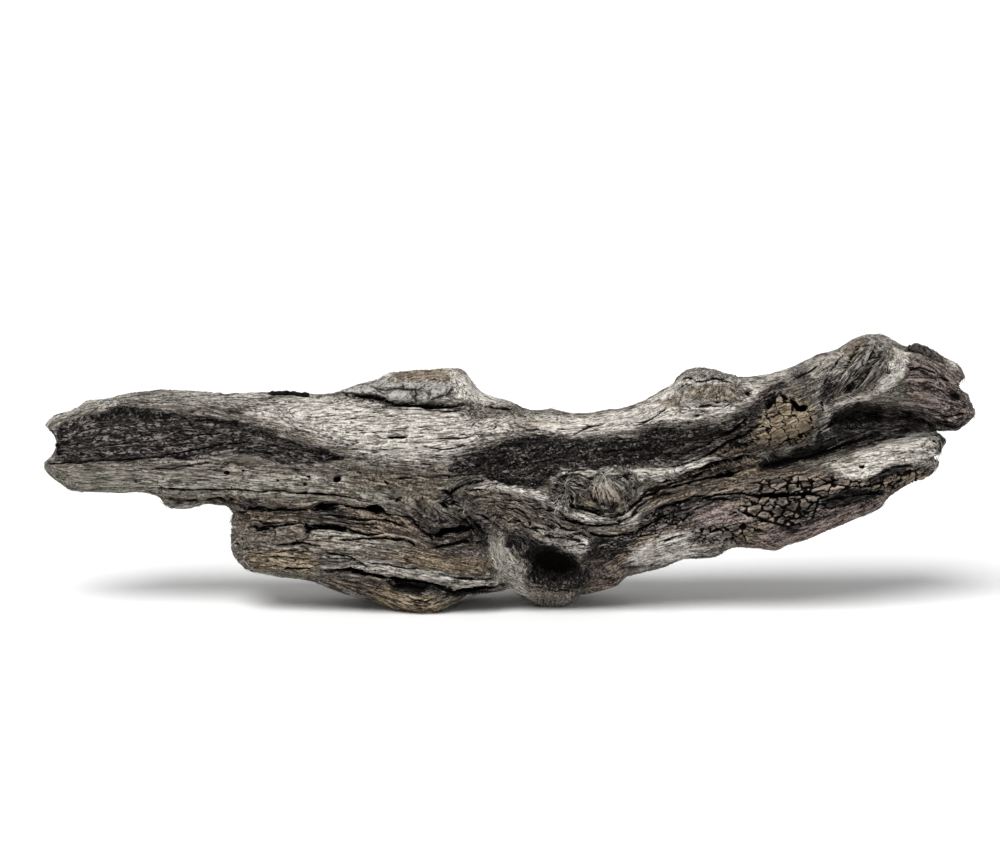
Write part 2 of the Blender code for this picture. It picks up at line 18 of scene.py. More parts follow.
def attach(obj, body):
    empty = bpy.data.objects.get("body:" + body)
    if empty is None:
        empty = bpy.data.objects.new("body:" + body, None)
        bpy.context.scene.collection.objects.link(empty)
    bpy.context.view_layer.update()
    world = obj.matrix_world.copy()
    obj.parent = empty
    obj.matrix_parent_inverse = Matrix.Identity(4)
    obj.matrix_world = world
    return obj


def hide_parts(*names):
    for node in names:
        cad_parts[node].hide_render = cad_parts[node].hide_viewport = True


bl_info = {
    "name": "Driftwood",
    "version": (1, 0, 0),
    "blender": (4, 5, 0),
    "location": "3D View > Sidebar > Driftwood",
    "description": "A weathered forked piece of driftwood with its bark scraps, splinters and lichen",
    "category": "Add Mesh",
}

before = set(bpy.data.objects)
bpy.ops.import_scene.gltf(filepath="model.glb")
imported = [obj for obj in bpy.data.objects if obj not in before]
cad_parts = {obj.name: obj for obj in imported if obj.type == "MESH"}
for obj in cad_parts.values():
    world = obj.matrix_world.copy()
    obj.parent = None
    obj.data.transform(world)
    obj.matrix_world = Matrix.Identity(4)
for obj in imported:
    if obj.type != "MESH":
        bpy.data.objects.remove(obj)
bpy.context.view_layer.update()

MM = 0.001

# The front sheet: how the viewer sees the wood
VIEW_TILT = math.radians(8.0)
VIEW_DISTANCE = 2222.0
SHEET_U = -6.4
SHEET_V = 146.8
SHEET_Z = 148.2

# How finely the lengths are lofted, and the depth at which the stub ends at the back
RING_STEP = 4.0
RING_POINTS = 56
STUB_BACK = 12.0

# Lattice values of the noise, and the grid of the sheet on which the flow of the grain is worked out once
GRID_SIZE = 4096
FLOW_LOW = (-400.0, -30.0)
FLOW_HIGH = (400.0, 240.0)
FLOW_STEP = 1.5

# Most triangles in one piece, and the weights by which the hidden back is thinned more than the front
PIECE_TRIANGLES = 196000
THIN_BANDS = 4
THIN_FRONT = 0.80
THIN_FACTOR = 0.08

# How far the raised side of a crack slopes off, and the height on the sheet above which rot cracks into
# round plates rather than into blocks along the grain
LIP_REACH = 4.5
PLATES_ABOVE = 116.0

# Checks that open along the grain: (seed, length and gap of their noise, width of the split, depth)
CHECKS = [
    (41, 60.0, 5.0, 0.06, 2.0), (42, 34.0, 3.0, 0.08, 1.4), (43, 16.0, 1.9, 0.11, 0.9),
    (44, 9.0, 1.7, 0.12, 0.8),
]

# How strongly marks lie in patches on the hidden back, and the marks that the wood's material reads
BACK_PATCHES = {"stain_and_shade": 0.55, "bleach": 0.6, "umber": 0.8, "ochre": 0.5, "lichen": 0.6, "wrinkle": 0.6}
COLOUR_MARKS = (
    "stain_and_shade", "bleach", "umber", "ochre", "rose", "lichen", "blocks", "block_tone", "even", "frayed",
)

# Loose fibres on each piece of the wood, grains of lichen on the upper limb, and how deep a fibre's root is
# sunk, in metres.
FIBRES = {"trunk": 9000, "side_slab": 4000, "branch_stub": 3500, "upper_limb": 7000, "lower_limb": 5000}
GRANULES = 900
FIBRE_SUNK = 0.0003

# The stage: a floor in metres that sweeps up behind the wood, a wide sun, an even sky and a camera's sensor
FLOOR_NEAR = -14.0
FLOOR_FAR = 6.0
FLOOR_WHITE = 0.92
SUN_ENERGY = 3.15
SUN_ANGLE = math.radians(40.0)
SUN_FROM = Vector((-0.26, -0.53, 0.85))
SKY_STRENGTH = 0.36
SENSOR = 36.0

# Upper edge of the wood on the sheet, left to right
TOP_EDGE = [
    (-371, 143), (-369, 147), (-362, 151), (-350, 154), (-345, 156), (-338, 162), (-320, 164),
    (-310, 166.5), (-302, 169), (-285, 170), (-277, 171), (-260, 170), (-240, 169), (-225, 167.5),
    (-195, 169), (-150, 167.5), (-140, 168), (-134, 170), (-124, 174), (-115, 176.5), (-105, 178),
    (-100, 181), (-95, 184.5), (-85, 185.5), (-75, 186.5), (-60, 187), (-50, 188), (-42, 189), (-37, 188),
    (-33, 184), (-30, 179), (-27, 174), (-24, 170), (-20, 167.5), (-12, 165), (0, 162.5), (5, 160),
    (12, 156), (18, 154.5), (28, 154.5), (35, 156), (42, 154), (48, 152.5), (60, 152), (70, 153),
    (80, 154.5), (90, 156), (100, 159), (110, 163.5), (120, 169), (128, 173.5), (133, 176), (136, 181),
    (139, 185), (145, 187), (152, 188.5), (158, 188), (168, 186.5), (175, 184), (180, 182), (185, 181),
    (195, 181), (210, 183), (220, 186.5), (230, 190), (240, 195), (250, 200), (260, 202), (268, 206),
    (275, 211), (282, 214), (290, 216), (297, 216), (305, 213), (310, 210), (317, 205.5), (328, 208),
    (341, 203), (348, 198), (353, 195.5), (360, 194), (364, 188), (368, 166), (373, 155),
]

# Lower edges: left arm and trunk (hidden behind the slab from u = -223), slab, and lower limb
TRUNK_FOOT = [
    (-371, 108), (-368, 104), (-362, 99), (-350, 91), (-343, 90), (-320, 90), (-307, 89), (-295, 90),
    (-285, 88), (-278, 86), (-275, 80), (-272, 77.5), (-262, 76.5), (-252, 77), (-245, 80), (-240, 81),
    (-233, 79.5), (-223, 78), (-214, 62), (-200, 54), (-150, 46), (-100, 36), (-50, 30), (0, 30), (60, 28),
    (116, 42),
]
SLAB_HEAD = [(-221, 70), (-205, 79), (-180, 82), (-146, 84), (-100, 80), (-62, 68), (-30, 60), (4, 48)]
SLAB_FOOT = [
    (-221, 42), (-216, 33), (-206, 27), (-195, 25), (-180, 22.5), (-170, 22), (-160, 20), (-150, 17.5),
    (-140, 13), (-130, 9), (-120, 6), (-110, 4), (-100, 0), (-90, -4), (-70, -8), (-58, -8), (-50, -2),
    (-45, 1), (-38, 4), (-30, 8), (-20, 10), (4, 14),
]
UPPER_LIMB_FOOT = [
    (58, 100), (105, 108), (150, 116), (200, 122), (230, 133), (255, 147), (280, 157), (305, 159),
    (330, 153), (344, 139), (360, 139), (369, 146), (373, 150),
]
LOWER_LIMB_HEAD = [
    (38, 76), (56, 84), (105, 104), (150, 111), (200, 111), (225, 114), (255, 121), (290, 131), (320, 136),
    (335, 138), (344, 137), (351, 132),
]
LOWER_LIMB_FOOT = [
    (38, 12), (56, 10), (65, 8.5), (72, 11), (80, 13), (87, 15), (90, 17), (91, 20), (95, 23), (102, 24),
    (108, 26), (115, 28.5), (125, 31), (135, 35), (143, 37), (155, 38), (165, 38.5), (170, 41), (173, 44),
    (180, 46), (200, 46), (205, 44.5), (210, 43.5), (217, 44), (222, 47), (230, 49.5), (240, 52.5),
    (247, 55), (253, 58.5), (260, 61), (270, 65), (280, 69.5), (290, 73), (298, 77), (304, 86), (313, 93),
    (322, 96.5), (335, 102), (341, 106), (344, 112), (346, 124), (351, 130),
]
RECESS_HEAD = [(90, 130), (150, 135), (230, 150), (280, 172), (330, 168), (342, 150)]
RECESS_FOOT = [(90, 88), (150, 95), (230, 100), (280, 112), (330, 120), (342, 126)]

# Depth of the front and the back of each length, as (u, front y, back y)
TRUNK_DEPTH = [
    (-371, -20, 18), (-364, -28, 27), (-345, -35, 34), (-280, -38, 38), (-200, -41, 46), (-120, -45, 54),
    (-40, -46, 60), (40, -44, 60), (116, -42, 49),
]
SLAB_DEPTH = [
    (-221, -30, 14), (-205, -46, 30), (-150, -53, 40), (-60, -55, 46), (-20, -50, 44), (4, -40, 30),
]
UPPER_LIMB_DEPTH = [
    (58, -38, 46), (105, -40, 46), (150, -44, 48), (200, -42, 47), (255, -44, 44), (300, -45, 40),
    (340, -38, 33), (362, -28, 24), (373, -14, 12),
]
LOWER_LIMB_DEPTH = [
    (38, -46, 44), (56, -50, 46), (105, -52, 48), (150, -53, 46), (200, -55, 42), (260, -52, 34),
    (300, -45, 27), (330, -36, 19), (345, -24, 6), (351, -14, -2),
]
RECESS_DEPTH = [
    (90, -38, 42), (120, -38, 42), (150, -36, 40), (190, -31, 38), (230, -25, 36), (300, -18, 30),
    (342, -12, 16),
]

# The stub, as level rings of (v, left u, right u, front y, back y), and the worn heel behind it
STUB_RINGS = [
    (101, -8, 22, -36, 24), (96, -28, 36, -46, 26), (86, -38, 54, -54, 26), (75, -24, 60, -58, 26),
    (60, -19, 66, -60, 26), (45, -17, 70, -60, 24), (35, -16, 70, -58, 22), (25, -14, 69, -54, 19),
    (16, -6, 65, -48, 16), (11, 4, 61, -42, 13), (7, 11, 57, -36, 11), (2, 19, 52, -27, 8),
    (-4, 24, 45, -14, 4),
]
HEEL_RINGS = [
    (60, -10, 70, 10, 56), (40, -4, 66, 14, 56), (20, 6, 56, 18, 51), (8, 14, 50, 21, 46),
    (-3, 17, 47, 24, 42),
]

# Broad relief of the front: (half width, depth, points). A groove's depth is positive, a ridge's is negative.
FOLDS = [
    (2.2, 2.0, [(-275, 83), (-246, 83), (-215, 84)]),
    (1.8, 1.8, [(-222, 74), (-205, 76), (-190, 75), (-160, 76), (-134, 80), (-113, 76), (-88, 71),
        (-74, 65), (-62, 57)]),
    (2.4, 3.5, [(-163, 63.5), (-150, 62), (-136, 61), (-126, 59)]),
    (1.8, 2.0, [(-206, 61), (-190, 61), (-170, 65)]),
    (2.0, 3.0, [(-172, 49), (-160, 54), (-158, 60)]),
    (2.0, 5.0, [(-150, 27), (-125, 28), (-88, 21), (-60, 17), (-42, 11), (-5, 14)]),
    (4.0, 8.0, [(-94, 17), (-80, 15), (-66, 13)]),
    (3.4, -3.0, [(-125, 32), (-90, 29), (-60, 24), (-40, 19), (-5, 16)]),
    (2.0, 2.0, [(-45, 91), (-28, 98), (-15, 101), (-5, 100), (8, 94)]),
    (3.0, 5.0, [(-34, 66), (-26, 64), (-21, 58)]),
    (2.4, 7.0, [(-60, 54), (-50, 58.5), (-40, 60), (-30, 61)]),
    (4.0, -5.0, [(-10, 93), (10, 91), (20, 88), (30, 84), (45, 76)]),
    (6.0, -6.0, [(16, 60), (30, 55), (44, 51), (58, 48), (66, 42)]),
    (2.2, 4.0, [(43, 71), (50, 67), (58, 65), (72, 64.5)]),
    (1.8, 2.5, [(69, 75), (78, 72.5), (93, 72.5), (104, 82), (118, 88.5), (140, 95), (180, 104)]),
    (4.0, -4.0, [(62, 69), (90, 66), (110, 78), (140, 88), (175, 96)]),
    (6.0, 3.0, [(-40, 112), (-5, 112), (20, 115), (50, 119), (85, 122), (125, 124), (160, 128)]),
    (5.0, -3.0, [(-30, 126), (0, 135), (35, 139), (80, 140), (120, 147), (160, 153)]),
    (2.6, 5.0, [(178, 104), (200, 110), (225, 115), (255, 123), (290, 134)]),
    (2.2, 2.0, [(200, 86), (240, 88), (270, 88), (300, 90)]),
    (5.0, -3.5, [(205, 97), (240, 101), (262, 106)]),
    (5.0, -4.0, [(288, 103), (310, 108), (340, 118)]),
    (5.0, -3.0, [(200, 62), (240, 72), (280, 82), (303, 88)]),
    (5.0, -4.0, [(140, 104), (170, 118), (200, 132), (235, 150)]),
    (3.6, 3.5, [(150, 128), (180, 140), (200, 150)]),
    (2.4, 1.0, [(140, 178), (160, 181), (182, 176)]),
    (3.0, 4.0, [(250, 182), (262, 190), (276, 204)]),
    (5.0, -5.0, [(262, 175), (275, 190), (288, 208)]),
    (3.0, 4.0, [(272, 170), (285, 186), (298, 206)]),
    (5.0, -4.0, [(262, 162), (290, 168), (308, 180), (318, 196)]),
    (3.0, 4.0, [(318, 204), (335, 198), (348, 192)]),
    (2.6, 2.5, [(322, 176), (345, 170), (362, 166)]),
    (3.0, 3.0, [(262, 150), (285, 153), (315, 151), (335, 148)]),
    (3.0, -2.5, [(262, 157), (285, 161), (315, 158), (338, 152)]),
    (2.4, -2.5, [(258, 143), (290, 146), (322, 144)]),
]

# Lumps and pits of the front, as (u, v, half width, half height, slant in degrees, height above the face)
MOUNDS = [
    (49, 91, 17, 14, 10, 4), (47, 89, 10, 9, 10, -5), (84, 93, 22, 18, 15, 9), (-172, 56, 14, 7, 8, 2),
    (160, 170, 28, 16, 0, 9), (108, 45, 26, 12, 25, 4), (165, 68, 18, 8, 15, 4), (-146, 77, 13, 6, 5, -10),
    (-107, 75.5, 6, 3.5, 0, -4), (36, 32, 30, 18, 0, -12), (36, 34, 24, 13, -10, -6),
    (235, 157, 8, 5, 0, -6), (283, 148, 22, 9, 15, -6), (165, 167, 14, 5, 5, -4), (-161, 60, 5, 4, 0, -7),
    (160, 54, 15, 7, 0, 3), (222, 165, 20, 9, 25, 4), (59, 36, 6, 4, 0, 6), (-76, 1, 16, 7, -8, 4),
    (-112, 20, 20, 7, -8, 3), (-49, 52, 7, 5, 20, 4), (12, 80, 16, 6, -15, 2),
]

# Open cracks: (half width, depth, how proud the side above stands over the side below, points left to right)
CRACKS = [
    (0.7, 2.6, 0.5, [(-290, 93), (-270, 92), (-250, 91.5), (-225, 91.5), (-200, 90.3), (-180, 89.8),
        (-160, 88.5), (-145, 88), (-130, 86)]),
    (0.6, 2.0, 0.4, [(-372, 112), (-350, 113), (-330, 114.5), (-300, 116), (-275, 118), (-250, 124),
        (-225, 128), (-205, 131)]),
    (0.6, 1.6, 0.3, [(-290, 107), (-265, 109), (-235, 114)]),
    (0.5, 1.2, 0.0, [(-245, 107), (-238, 108), (-225, 106)]),
    (0.6, 1.8, 0.0, [(-216, 101), (-211, 104), (-209, 106)]),
    (0.5, 1.4, 0.0, [(-281, 104), (-279, 95)]),
    (0.6, 1.6, 0.0, [(-178, 109), (-168, 107), (-163, 108)]),
    (0.6, 1.6, 0.0, [(-169, 104), (-158, 102)]),
    (0.6, 1.6, 0.0, [(-188, 104.5), (-183, 102.5)]),
    (0.8, 2.2, 0.4, [(-92, 100), (-80, 101), (-72, 103)]),
    (0.7, 2.0, 0.3, [(-180, 90), (-160, 88.5), (-140, 87), (-120, 84)]),
    (1.2, 3.5, 1.8, [(-275, 85), (-262, 82.5), (-245, 82.5), (-232, 83), (-220, 80.5), (-213, 79)]),
    (1.5, 4.0, 1.5, [(-222, 73), (-212, 73), (-206, 76)]),
    (0.7, 3.5, 1.6, [(-208, 75.5), (-198, 77.5), (-190, 75), (-176, 75), (-170, 76.5), (-160, 75.5)]),
    (0.8, 3.2, 1.4, [(-208, 61), (-203, 63), (-199, 61), (-188, 62), (-186, 61), (-180, 62), (-176, 64.5),
        (-166, 64.5)]),
    (0.8, 2.4, 0.6, [(-199, 69), (-200, 66), (-196, 64.5), (-180, 64.5)]),
    (0.9, 2.6, 0.5, [(-187, 61), (-186, 57), (-187, 52)]),
    (0.5, 1.4, 0.3, [(-188, 40.5), (-178, 42), (-167, 42.5)]),
    (0.5, 1.4, 0.3, [(-198, 31), (-185, 30.5)]),
    (0.8, 2.4, 0.6, [(-182, 25.5), (-177, 28), (-165, 28.5), (-155, 29.5)]),
    (1.5, 4.5, 2.2, [(-163, 65), (-160, 61), (-150, 62.5), (-136, 61), (-126, 59)]),
    (0.7, 3.0, 1.4, [(-130, 59.5), (-120, 57.5), (-112, 55.5), (-100, 56)]),
    (0.7, 2.6, 1.4, [(-138, 51), (-120, 53), (-106, 53), (-95, 52.5), (-84, 52), (-76, 49), (-70, 44)]),
    (0.7, 2.2, 0.8, [(-187, 47), (-176, 48), (-164, 49), (-150, 47)]),
    (0.6, 1.8, 0.6, [(-200, 37), (-186, 38.5), (-170, 37), (-156, 36)]),
    (1.2, 5.0, 0.6, [(-60, 53), (-52, 58), (-44, 60), (-34, 61)]),
    (0.8, 2.6, 1.0, [(-66, 44), (-52, 47), (-40, 50), (-28, 50)]),
    (1.4, 5.0, 0.5, [(-36, 68), (-29, 68), (-24, 64), (-20, 57)]),
    (0.8, 3.0, 0.5, [(-30, 74), (-22, 71), (-14, 66), (-8, 60), (2, 56)]),
    (0.7, 2.0, 0.8, [(-150, 70), (-130, 68), (-115, 66), (-95, 66), (-80, 62)]),
    (0.6, 1.8, 0.5, [(-140, 66), (-128, 64), (-112, 63), (-100, 60)]),
    (0.8, 3.0, 1.5, [(-134, 79.5), (-126, 78.5), (-113, 76), (-100, 73.5), (-88, 71)]),
    (0.8, 3.0, 1.5, [(-88, 71), (-80, 69.5), (-74, 65), (-68, 60), (-62, 56), (-60, 50)]),
    (1.2, 5.0, 2.5, [(-150, 27), (-138, 28.5), (-125, 28), (-105, 23.5), (-88, 21), (-72, 19), (-60, 17),
        (-50, 11), (-30, 13), (-5, 14)]),
    (0.8, 2.2, 0.8, [(-60, 24), (-40, 21), (-20, 19.5), (-8, 20)]),
    (0.6, 1.6, 0.4, [(-112, 33), (-95, 32), (-85, 30), (-70, 28)]),
    (0.7, 2.0, 0.5, [(-150, 42), (-130, 39), (-118, 33), (-110, 29)]),
    (0.7, 2.0, 0.6, [(-118, 8), (-108, 10), (-100, 16), (-96, 20)]),
    (0.6, 1.8, 0.5, [(-84, 8), (-76, 3), (-66, 2), (-58, 4)]),
    (0.7, 2.4, -1.2, [(-48, 88), (-42, 91), (-36, 94), (-28, 96.5), (-15, 99.5), (-5, 98.5), (5, 92.5)]),
    (0.7, 2.0, 0.5, [(-60, 102), (-40, 103), (-20, 104)]),
    (0.8, 2.4, 0.5, [(-55, 84), (-48, 80), (-40, 82), (-36, 90)]),
    (0.7, 2.0, 0.4, [(-52, 90), (-46, 86), (-42, 80), (-30, 78)]),
    (0.8, 2.4, 0.4, [(50, 134), (58, 139), (65, 142), (80, 144.5)]),
    (0.8, 2.4, 0.4, [(102, 143), (112, 147), (120, 152), (127, 158)]),
    (0.5, 1.4, 0.2, [(10, 140), (24, 141), (38, 138)]),
    (0.5, 1.4, 0.2, [(36, 137), (40, 141), (50, 140)]),
    (0.9, 3.0, 1.2, [(50, 77), (60, 75.5), (68, 74), (74, 71), (84, 70.5), (92, 71), (98, 76), (105, 83),
        (113, 88), (122, 92), (140, 95), (160, 101), (180, 104), (196, 108)]),
    (0.8, 2.6, 1.0, [(82, 67), (92, 67), (98, 69), (104, 78), (112, 84), (122, 88), (140, 90)]),
    (0.8, 2.4, 0.8, [(60, 66), (74, 63), (88, 64), (100, 70), (108, 78)]),
    (1.1, 4.0, 2.0, [(42, 72), (46, 70), (50, 67), (58, 65), (67, 64), (74, 64)]),
    (0.8, 2.4, 0.8, [(46, 79), (56, 78), (66, 77), (74, 74.5)]),
    (0.9, 3.0, 1.4, [(62, 58), (75, 55), (88, 54.5), (100, 57), (112, 63), (126, 72)]),
    (0.6, 1.8, -0.6, [(37, 92), (40, 100), (50, 106), (66, 108)]),
    (1.2, 3.5, 0.6, [(66, 90), (67, 85), (71, 81), (78, 78.5), (84, 78)]),
    (0.5, 1.4, 0.3, [(40, 96), (46, 102), (56, 104), (64, 100), (70, 104), (82, 106)]),
    (0.9, 2.6, 0.8, [(104, 84), (112, 91), (124, 94), (140, 99), (158, 106), (176, 109)]),
    (1.0, 3.0, 1.0, [(120, 97), (140, 103), (160, 111), (180, 117), (196, 119)]),
    (1.0, 3.0, 1.0, [(130, 109), (150, 116), (170, 125), (190, 136), (204, 146)]),
    (0.9, 2.6, 0.8, [(140, 120), (160, 128), (180, 140), (196, 152)]),
    (0.9, 2.6, 0.8, [(150, 106), (172, 113), (190, 118), (204, 117)]),
    (0.8, 2.4, 0.6, [(160, 104), (176, 106), (190, 111)]),
    (0.6, 1.4, 0.9, [(138, 179), (146, 180.5), (156, 179), (168, 181), (178, 178.5), (184, 173)]),
    (0.7, 2.0, 0.4, [(136, 171), (142, 176), (150, 178)]),
    (0.5, 1.2, 0.3, [(148, 157), (160, 159), (172, 158), (184, 163)]),
    (0.9, 3.2, 1.0, [(200, 86), (215, 87), (240, 88), (255, 86)]),
    (0.9, 3.2, 1.0, [(250, 82), (262, 84), (278, 87), (300, 90)]),
    (0.9, 2.8, 0.8, [(152, 84), (168, 88), (186, 89), (204, 86)]),
    (0.9, 2.8, 0.8, [(118, 76), (134, 80), (150, 86), (164, 84), (182, 84)]),
    (0.9, 2.6, 0.8, [(182, 76), (196, 70), (212, 64), (228, 60)]),
    (1.0, 3.0, 1.0, [(256, 76), (270, 79), (286, 84), (302, 89)]),
    (1.2, 3.5, 1.2, [(288, 99), (298, 104), (308, 109), (318, 110.5), (330, 109)]),
    (1.1, 3.5, 0.8, [(330, 145), (338, 145), (345, 144), (352, 142), (362, 142)]),
    (1.1, 3.0, 0.8, [(262, 175), (268, 186), (275, 199), (283, 212)]),
    (1.1, 3.0, 0.8, [(270, 172), (277, 188), (284, 202), (290, 214)]),
    (1.0, 3.0, 0.8, [(275, 168), (286, 184), (294, 196), (300, 205)]),
    (0.5, 1.8, 0.4, [(266, 174), (272, 187), (280, 201), (287, 213)]),
    (0.5, 1.8, 0.4, [(272, 169), (281, 184), (289, 198), (296, 210)]),
    (0.7, 2.2, 0.4, [(250, 172), (257, 184), (263, 194), (272, 204)]),
    (0.5, 1.8, 0.4, [(284, 170), (293, 182), (299, 194), (303, 202)]),
    (0.8, 2.6, 0.4, [(333, 196), (331, 190), (331, 184), (335, 180)]),
    (0.9, 2.6, 0.5, [(252, 150), (250, 162), (252, 172)]),
    (0.9, 2.6, 0.5, [(246, 134), (254, 142), (262, 150)]),
    (0.7, 2.0, 0.4, [(226, 178), (238, 184), (250, 192)]),
    (0.5, 1.6, 0.5, [(322, 175), (340, 173), (352, 170)]),
    (0.8, 2.2, 0.6, [(318, 186), (330, 190), (344, 184), (356, 178)]),
    (0.8, 2.4, 0.6, [(318, 158), (334, 152), (350, 150), (370, 153)]),
    (0.7, 2.0, 0.4, [(336, 148), (352, 146), (368, 148)]),
    (1.5, 4.5, 0.4, [(-132, 168.6), (-118, 166.8), (-104, 165.8), (-98, 162.5), (-90, 160.4), (-76, 159.8),
        (-66, 159), (-56, 158.2), (-45, 158.8), (-36, 160)]),
    (0.6, 1.6, 0.3, [(-66, 156), (-50, 154), (-34, 156)]),
    (0.6, 1.6, 0.3, [(-20, 158), (-8, 156), (6, 154)]),
    (1.2, 3.5, 1.0, [(318, 206), (326, 203), (336, 200), (346, 194)]),
    (0.6, 1.8, 0.4, [(-60, 133), (-40, 133), (-20, 136)]),
    (0.6, 1.8, 0.4, [(-70, 126), (-50, 124), (-30, 128)]),
    (0.8, 2.4, -0.6, [(-4, 84), (8, 83), (18, 79), (26, 73)]),
    (0.8, 2.4, 0.6, [(-12, 80), (-4, 76), (6, 77), (14, 72), (18, 64), (12, 60)]),
    (0.8, 2.4, 0.6, [(-8, 70), (0, 66), (8, 68), (12, 62), (24, 60)]),
    (0.7, 2.0, 0.5, [(18, 76), (28, 76), (38, 72)]),
    (0.7, 2.0, 0.5, [(20, 68), (30, 69), (40, 64), (46, 60)]),
    (0.7, 2.0, 0.5, [(-34, 90), (-24, 92), (-14, 91)]),
    (0.7, 2.0, 0.5, [(-34, 84), (-22, 86), (-12, 84)]),
    (0.9, 2.6, 0.8, [(24, 55), (36, 52), (48, 54), (58, 56), (66, 52)]),
    (0.7, 2.2, 0.8, [(16, 62), (28, 60), (40, 56), (52, 52), (62, 49)]),
    (0.6, 2.0, 0.6, [(22, 66), (34, 63), (46, 60), (58, 57)]),
    (0.7, 2.2, 0.5, [(34, 47), (46, 45), (58, 48), (66, 45)]),
    (0.6, 1.6, 0.2, [(15, 14), (30, 11), (45, 9.5), (58, 10)]),
]

# Beetle holes and small pits: (u, v, radius along, radius across, slant in degrees, depth)
HOLES = [
    (-298, 98, 1.0, 1.0, 0, 2.5), (-262, 89, 1.1, 1.0, 0, 2.5), (-245, 89, 1.4, 1.0, 0, 2.5),
    (-221.5, 83.5, 1.3, 1.1, 0, 3), (-224, 104, 2.4, 1.8, 20, 4), (-211.5, 106.5, 1.4, 1.2, 0, 2.5),
    (-184, 99, 1.3, 1.1, 30, 3), (-162, 95, 1.6, 1.5, 0, 4), (-161, 90.2, 1.3, 1.0, 0, 3),
    (-159.5, 102, 1.3, 1.1, 0, 3), (-137, 99.5, 3.0, 2.0, 0, 7), (-201, 71, 1.5, 1.2, 0, 3),
    (-210, 43.5, 1.8, 1.2, 0, 4), (-207, 36, 2.0, 1.2, 20, 4), (-217, 48.5, 1.6, 1.0, 0, 2.5),
    (-212, 52, 1.0, 0.9, 0, 2), (-89, 133.5, 8, 1.8, 5, 7), (-104, 136.8, 6, 0.8, -6, 3),
    (99, 27.5, 7, 1.8, 4, 5), (283, 110, 2.2, 1.6, 0, 4), (-194, 58.5, 2.5, 1.6, 0, 2.5),
    (-106, 75.5, 6, 2.8, -6, 8), (36, 34, 17, 8, -14, 0), (229, 161, 4.5, 2.2, -50, 5),
    (236, 157, 4.5, 2.0, 10, 5), (180, 72, 3.5, 1.2, 20, 2), (-97, 97, 3, 1.0, -35, 2),
    (-48, 89, 6, 1.6, -15, 4), (-52, 79, 4, 1.6, -30, 3), (-88, 84, 3.2, 1.8, 30, 1.6),
    (130, 52, 6, 1.2, 20, 2), (-142, 54, 2.2, 1.3, 20, 3), (-97, 67, 3, 1.6, 0, 2),
    (-120, 64, 5, 1.0, -8, 2.5), (-82, 30, 3.5, 1.0, -30, 2), (192, 168, 2.6, 1.4, 0, 3),
    (192, 170, 3.4, 1.8, 10, 4), (167, 162, 3.5, 1.4, 10, 2.5), (174, 162.5, 2.6, 1.2, -10, 2.5),
    (152, 150, 3.4, 1.4, 20, 3), (210, 162, 7, 2.4, 50, 5), (220, 166, 4, 1.6, -30, 4),
    (-10, 141, 2.6, 1.0, 60, 2),
]

# Loose flakes that stand proud of the face: (outline, height, edge width)
FLAKES = [
    ([(-188, 50), (-186, 60), (-178, 62), (-170, 64), (-163, 63), (-161, 58), (-168, 52), (-176, 50),
        (-182, 49)], 1.3, 0.8),
    ([(-104, 80), (-106, 88), (-100, 92), (-94, 91), (-91, 86), (-97, 80)], 1.8, 0.9),
    ([(183, 102), (186, 106), (195, 108), (199, 112), (202, 111), (202, 106), (198, 102),
        (190, 101)], 3.0, 1.2),
    ([(208, 66), (210, 70), (218, 68), (222, 66), (215, 64)], 2.0, 0.8),
    ([(-146, 68), (-140, 72), (-128, 74), (-112, 71), (-90, 68), (-100, 64), (-124, 64)], 1.5, 2.0),
    ([(-54, 12), (-50, 14.5), (-43, 15), (-41, 12), (-46, 10.5)], 1.5, 0.8),
    ([(24, 93), (38, 91), (38, 84), (30, 84), (22, 88)], 1.6, 1.2),
    ([(-67, 161.5), (-60, 163.5), (-50, 166), (-46.5, 164.5), (-53, 161), (-60, 159.6)], 2.4, 0.8),
    ([(187, 177), (194, 177), (195, 172), (188, 171.5)], 1.6, 0.8),
    ([(40, 70), (52, 73), (70, 69), (86, 67), (84, 65), (68, 65.5), (50, 68)], 1.6, 0.9),
]

# The stained hollow along the left arm, and the notches of the two ends: (u, v, reach, half height, sink)
STAIN_EDGE = [
    (-362, 143), (-340, 151), (-325, 153), (-310, 160), (-285, 155), (-250, 152), (-220, 147), (-195, 140),
    (-165, 131), (-125, 116), (-150, 111), (-180, 110), (-200, 117), (-235, 119), (-262, 113), (-285, 117),
    (-335, 113), (-362, 112),
]
STAIN_SINK = 4.0
NOTCHES = [(-374, 128, 13, 15, 11), (374, 175, 13, 8, 14), (348, 117, 8, 3.5, 8)]

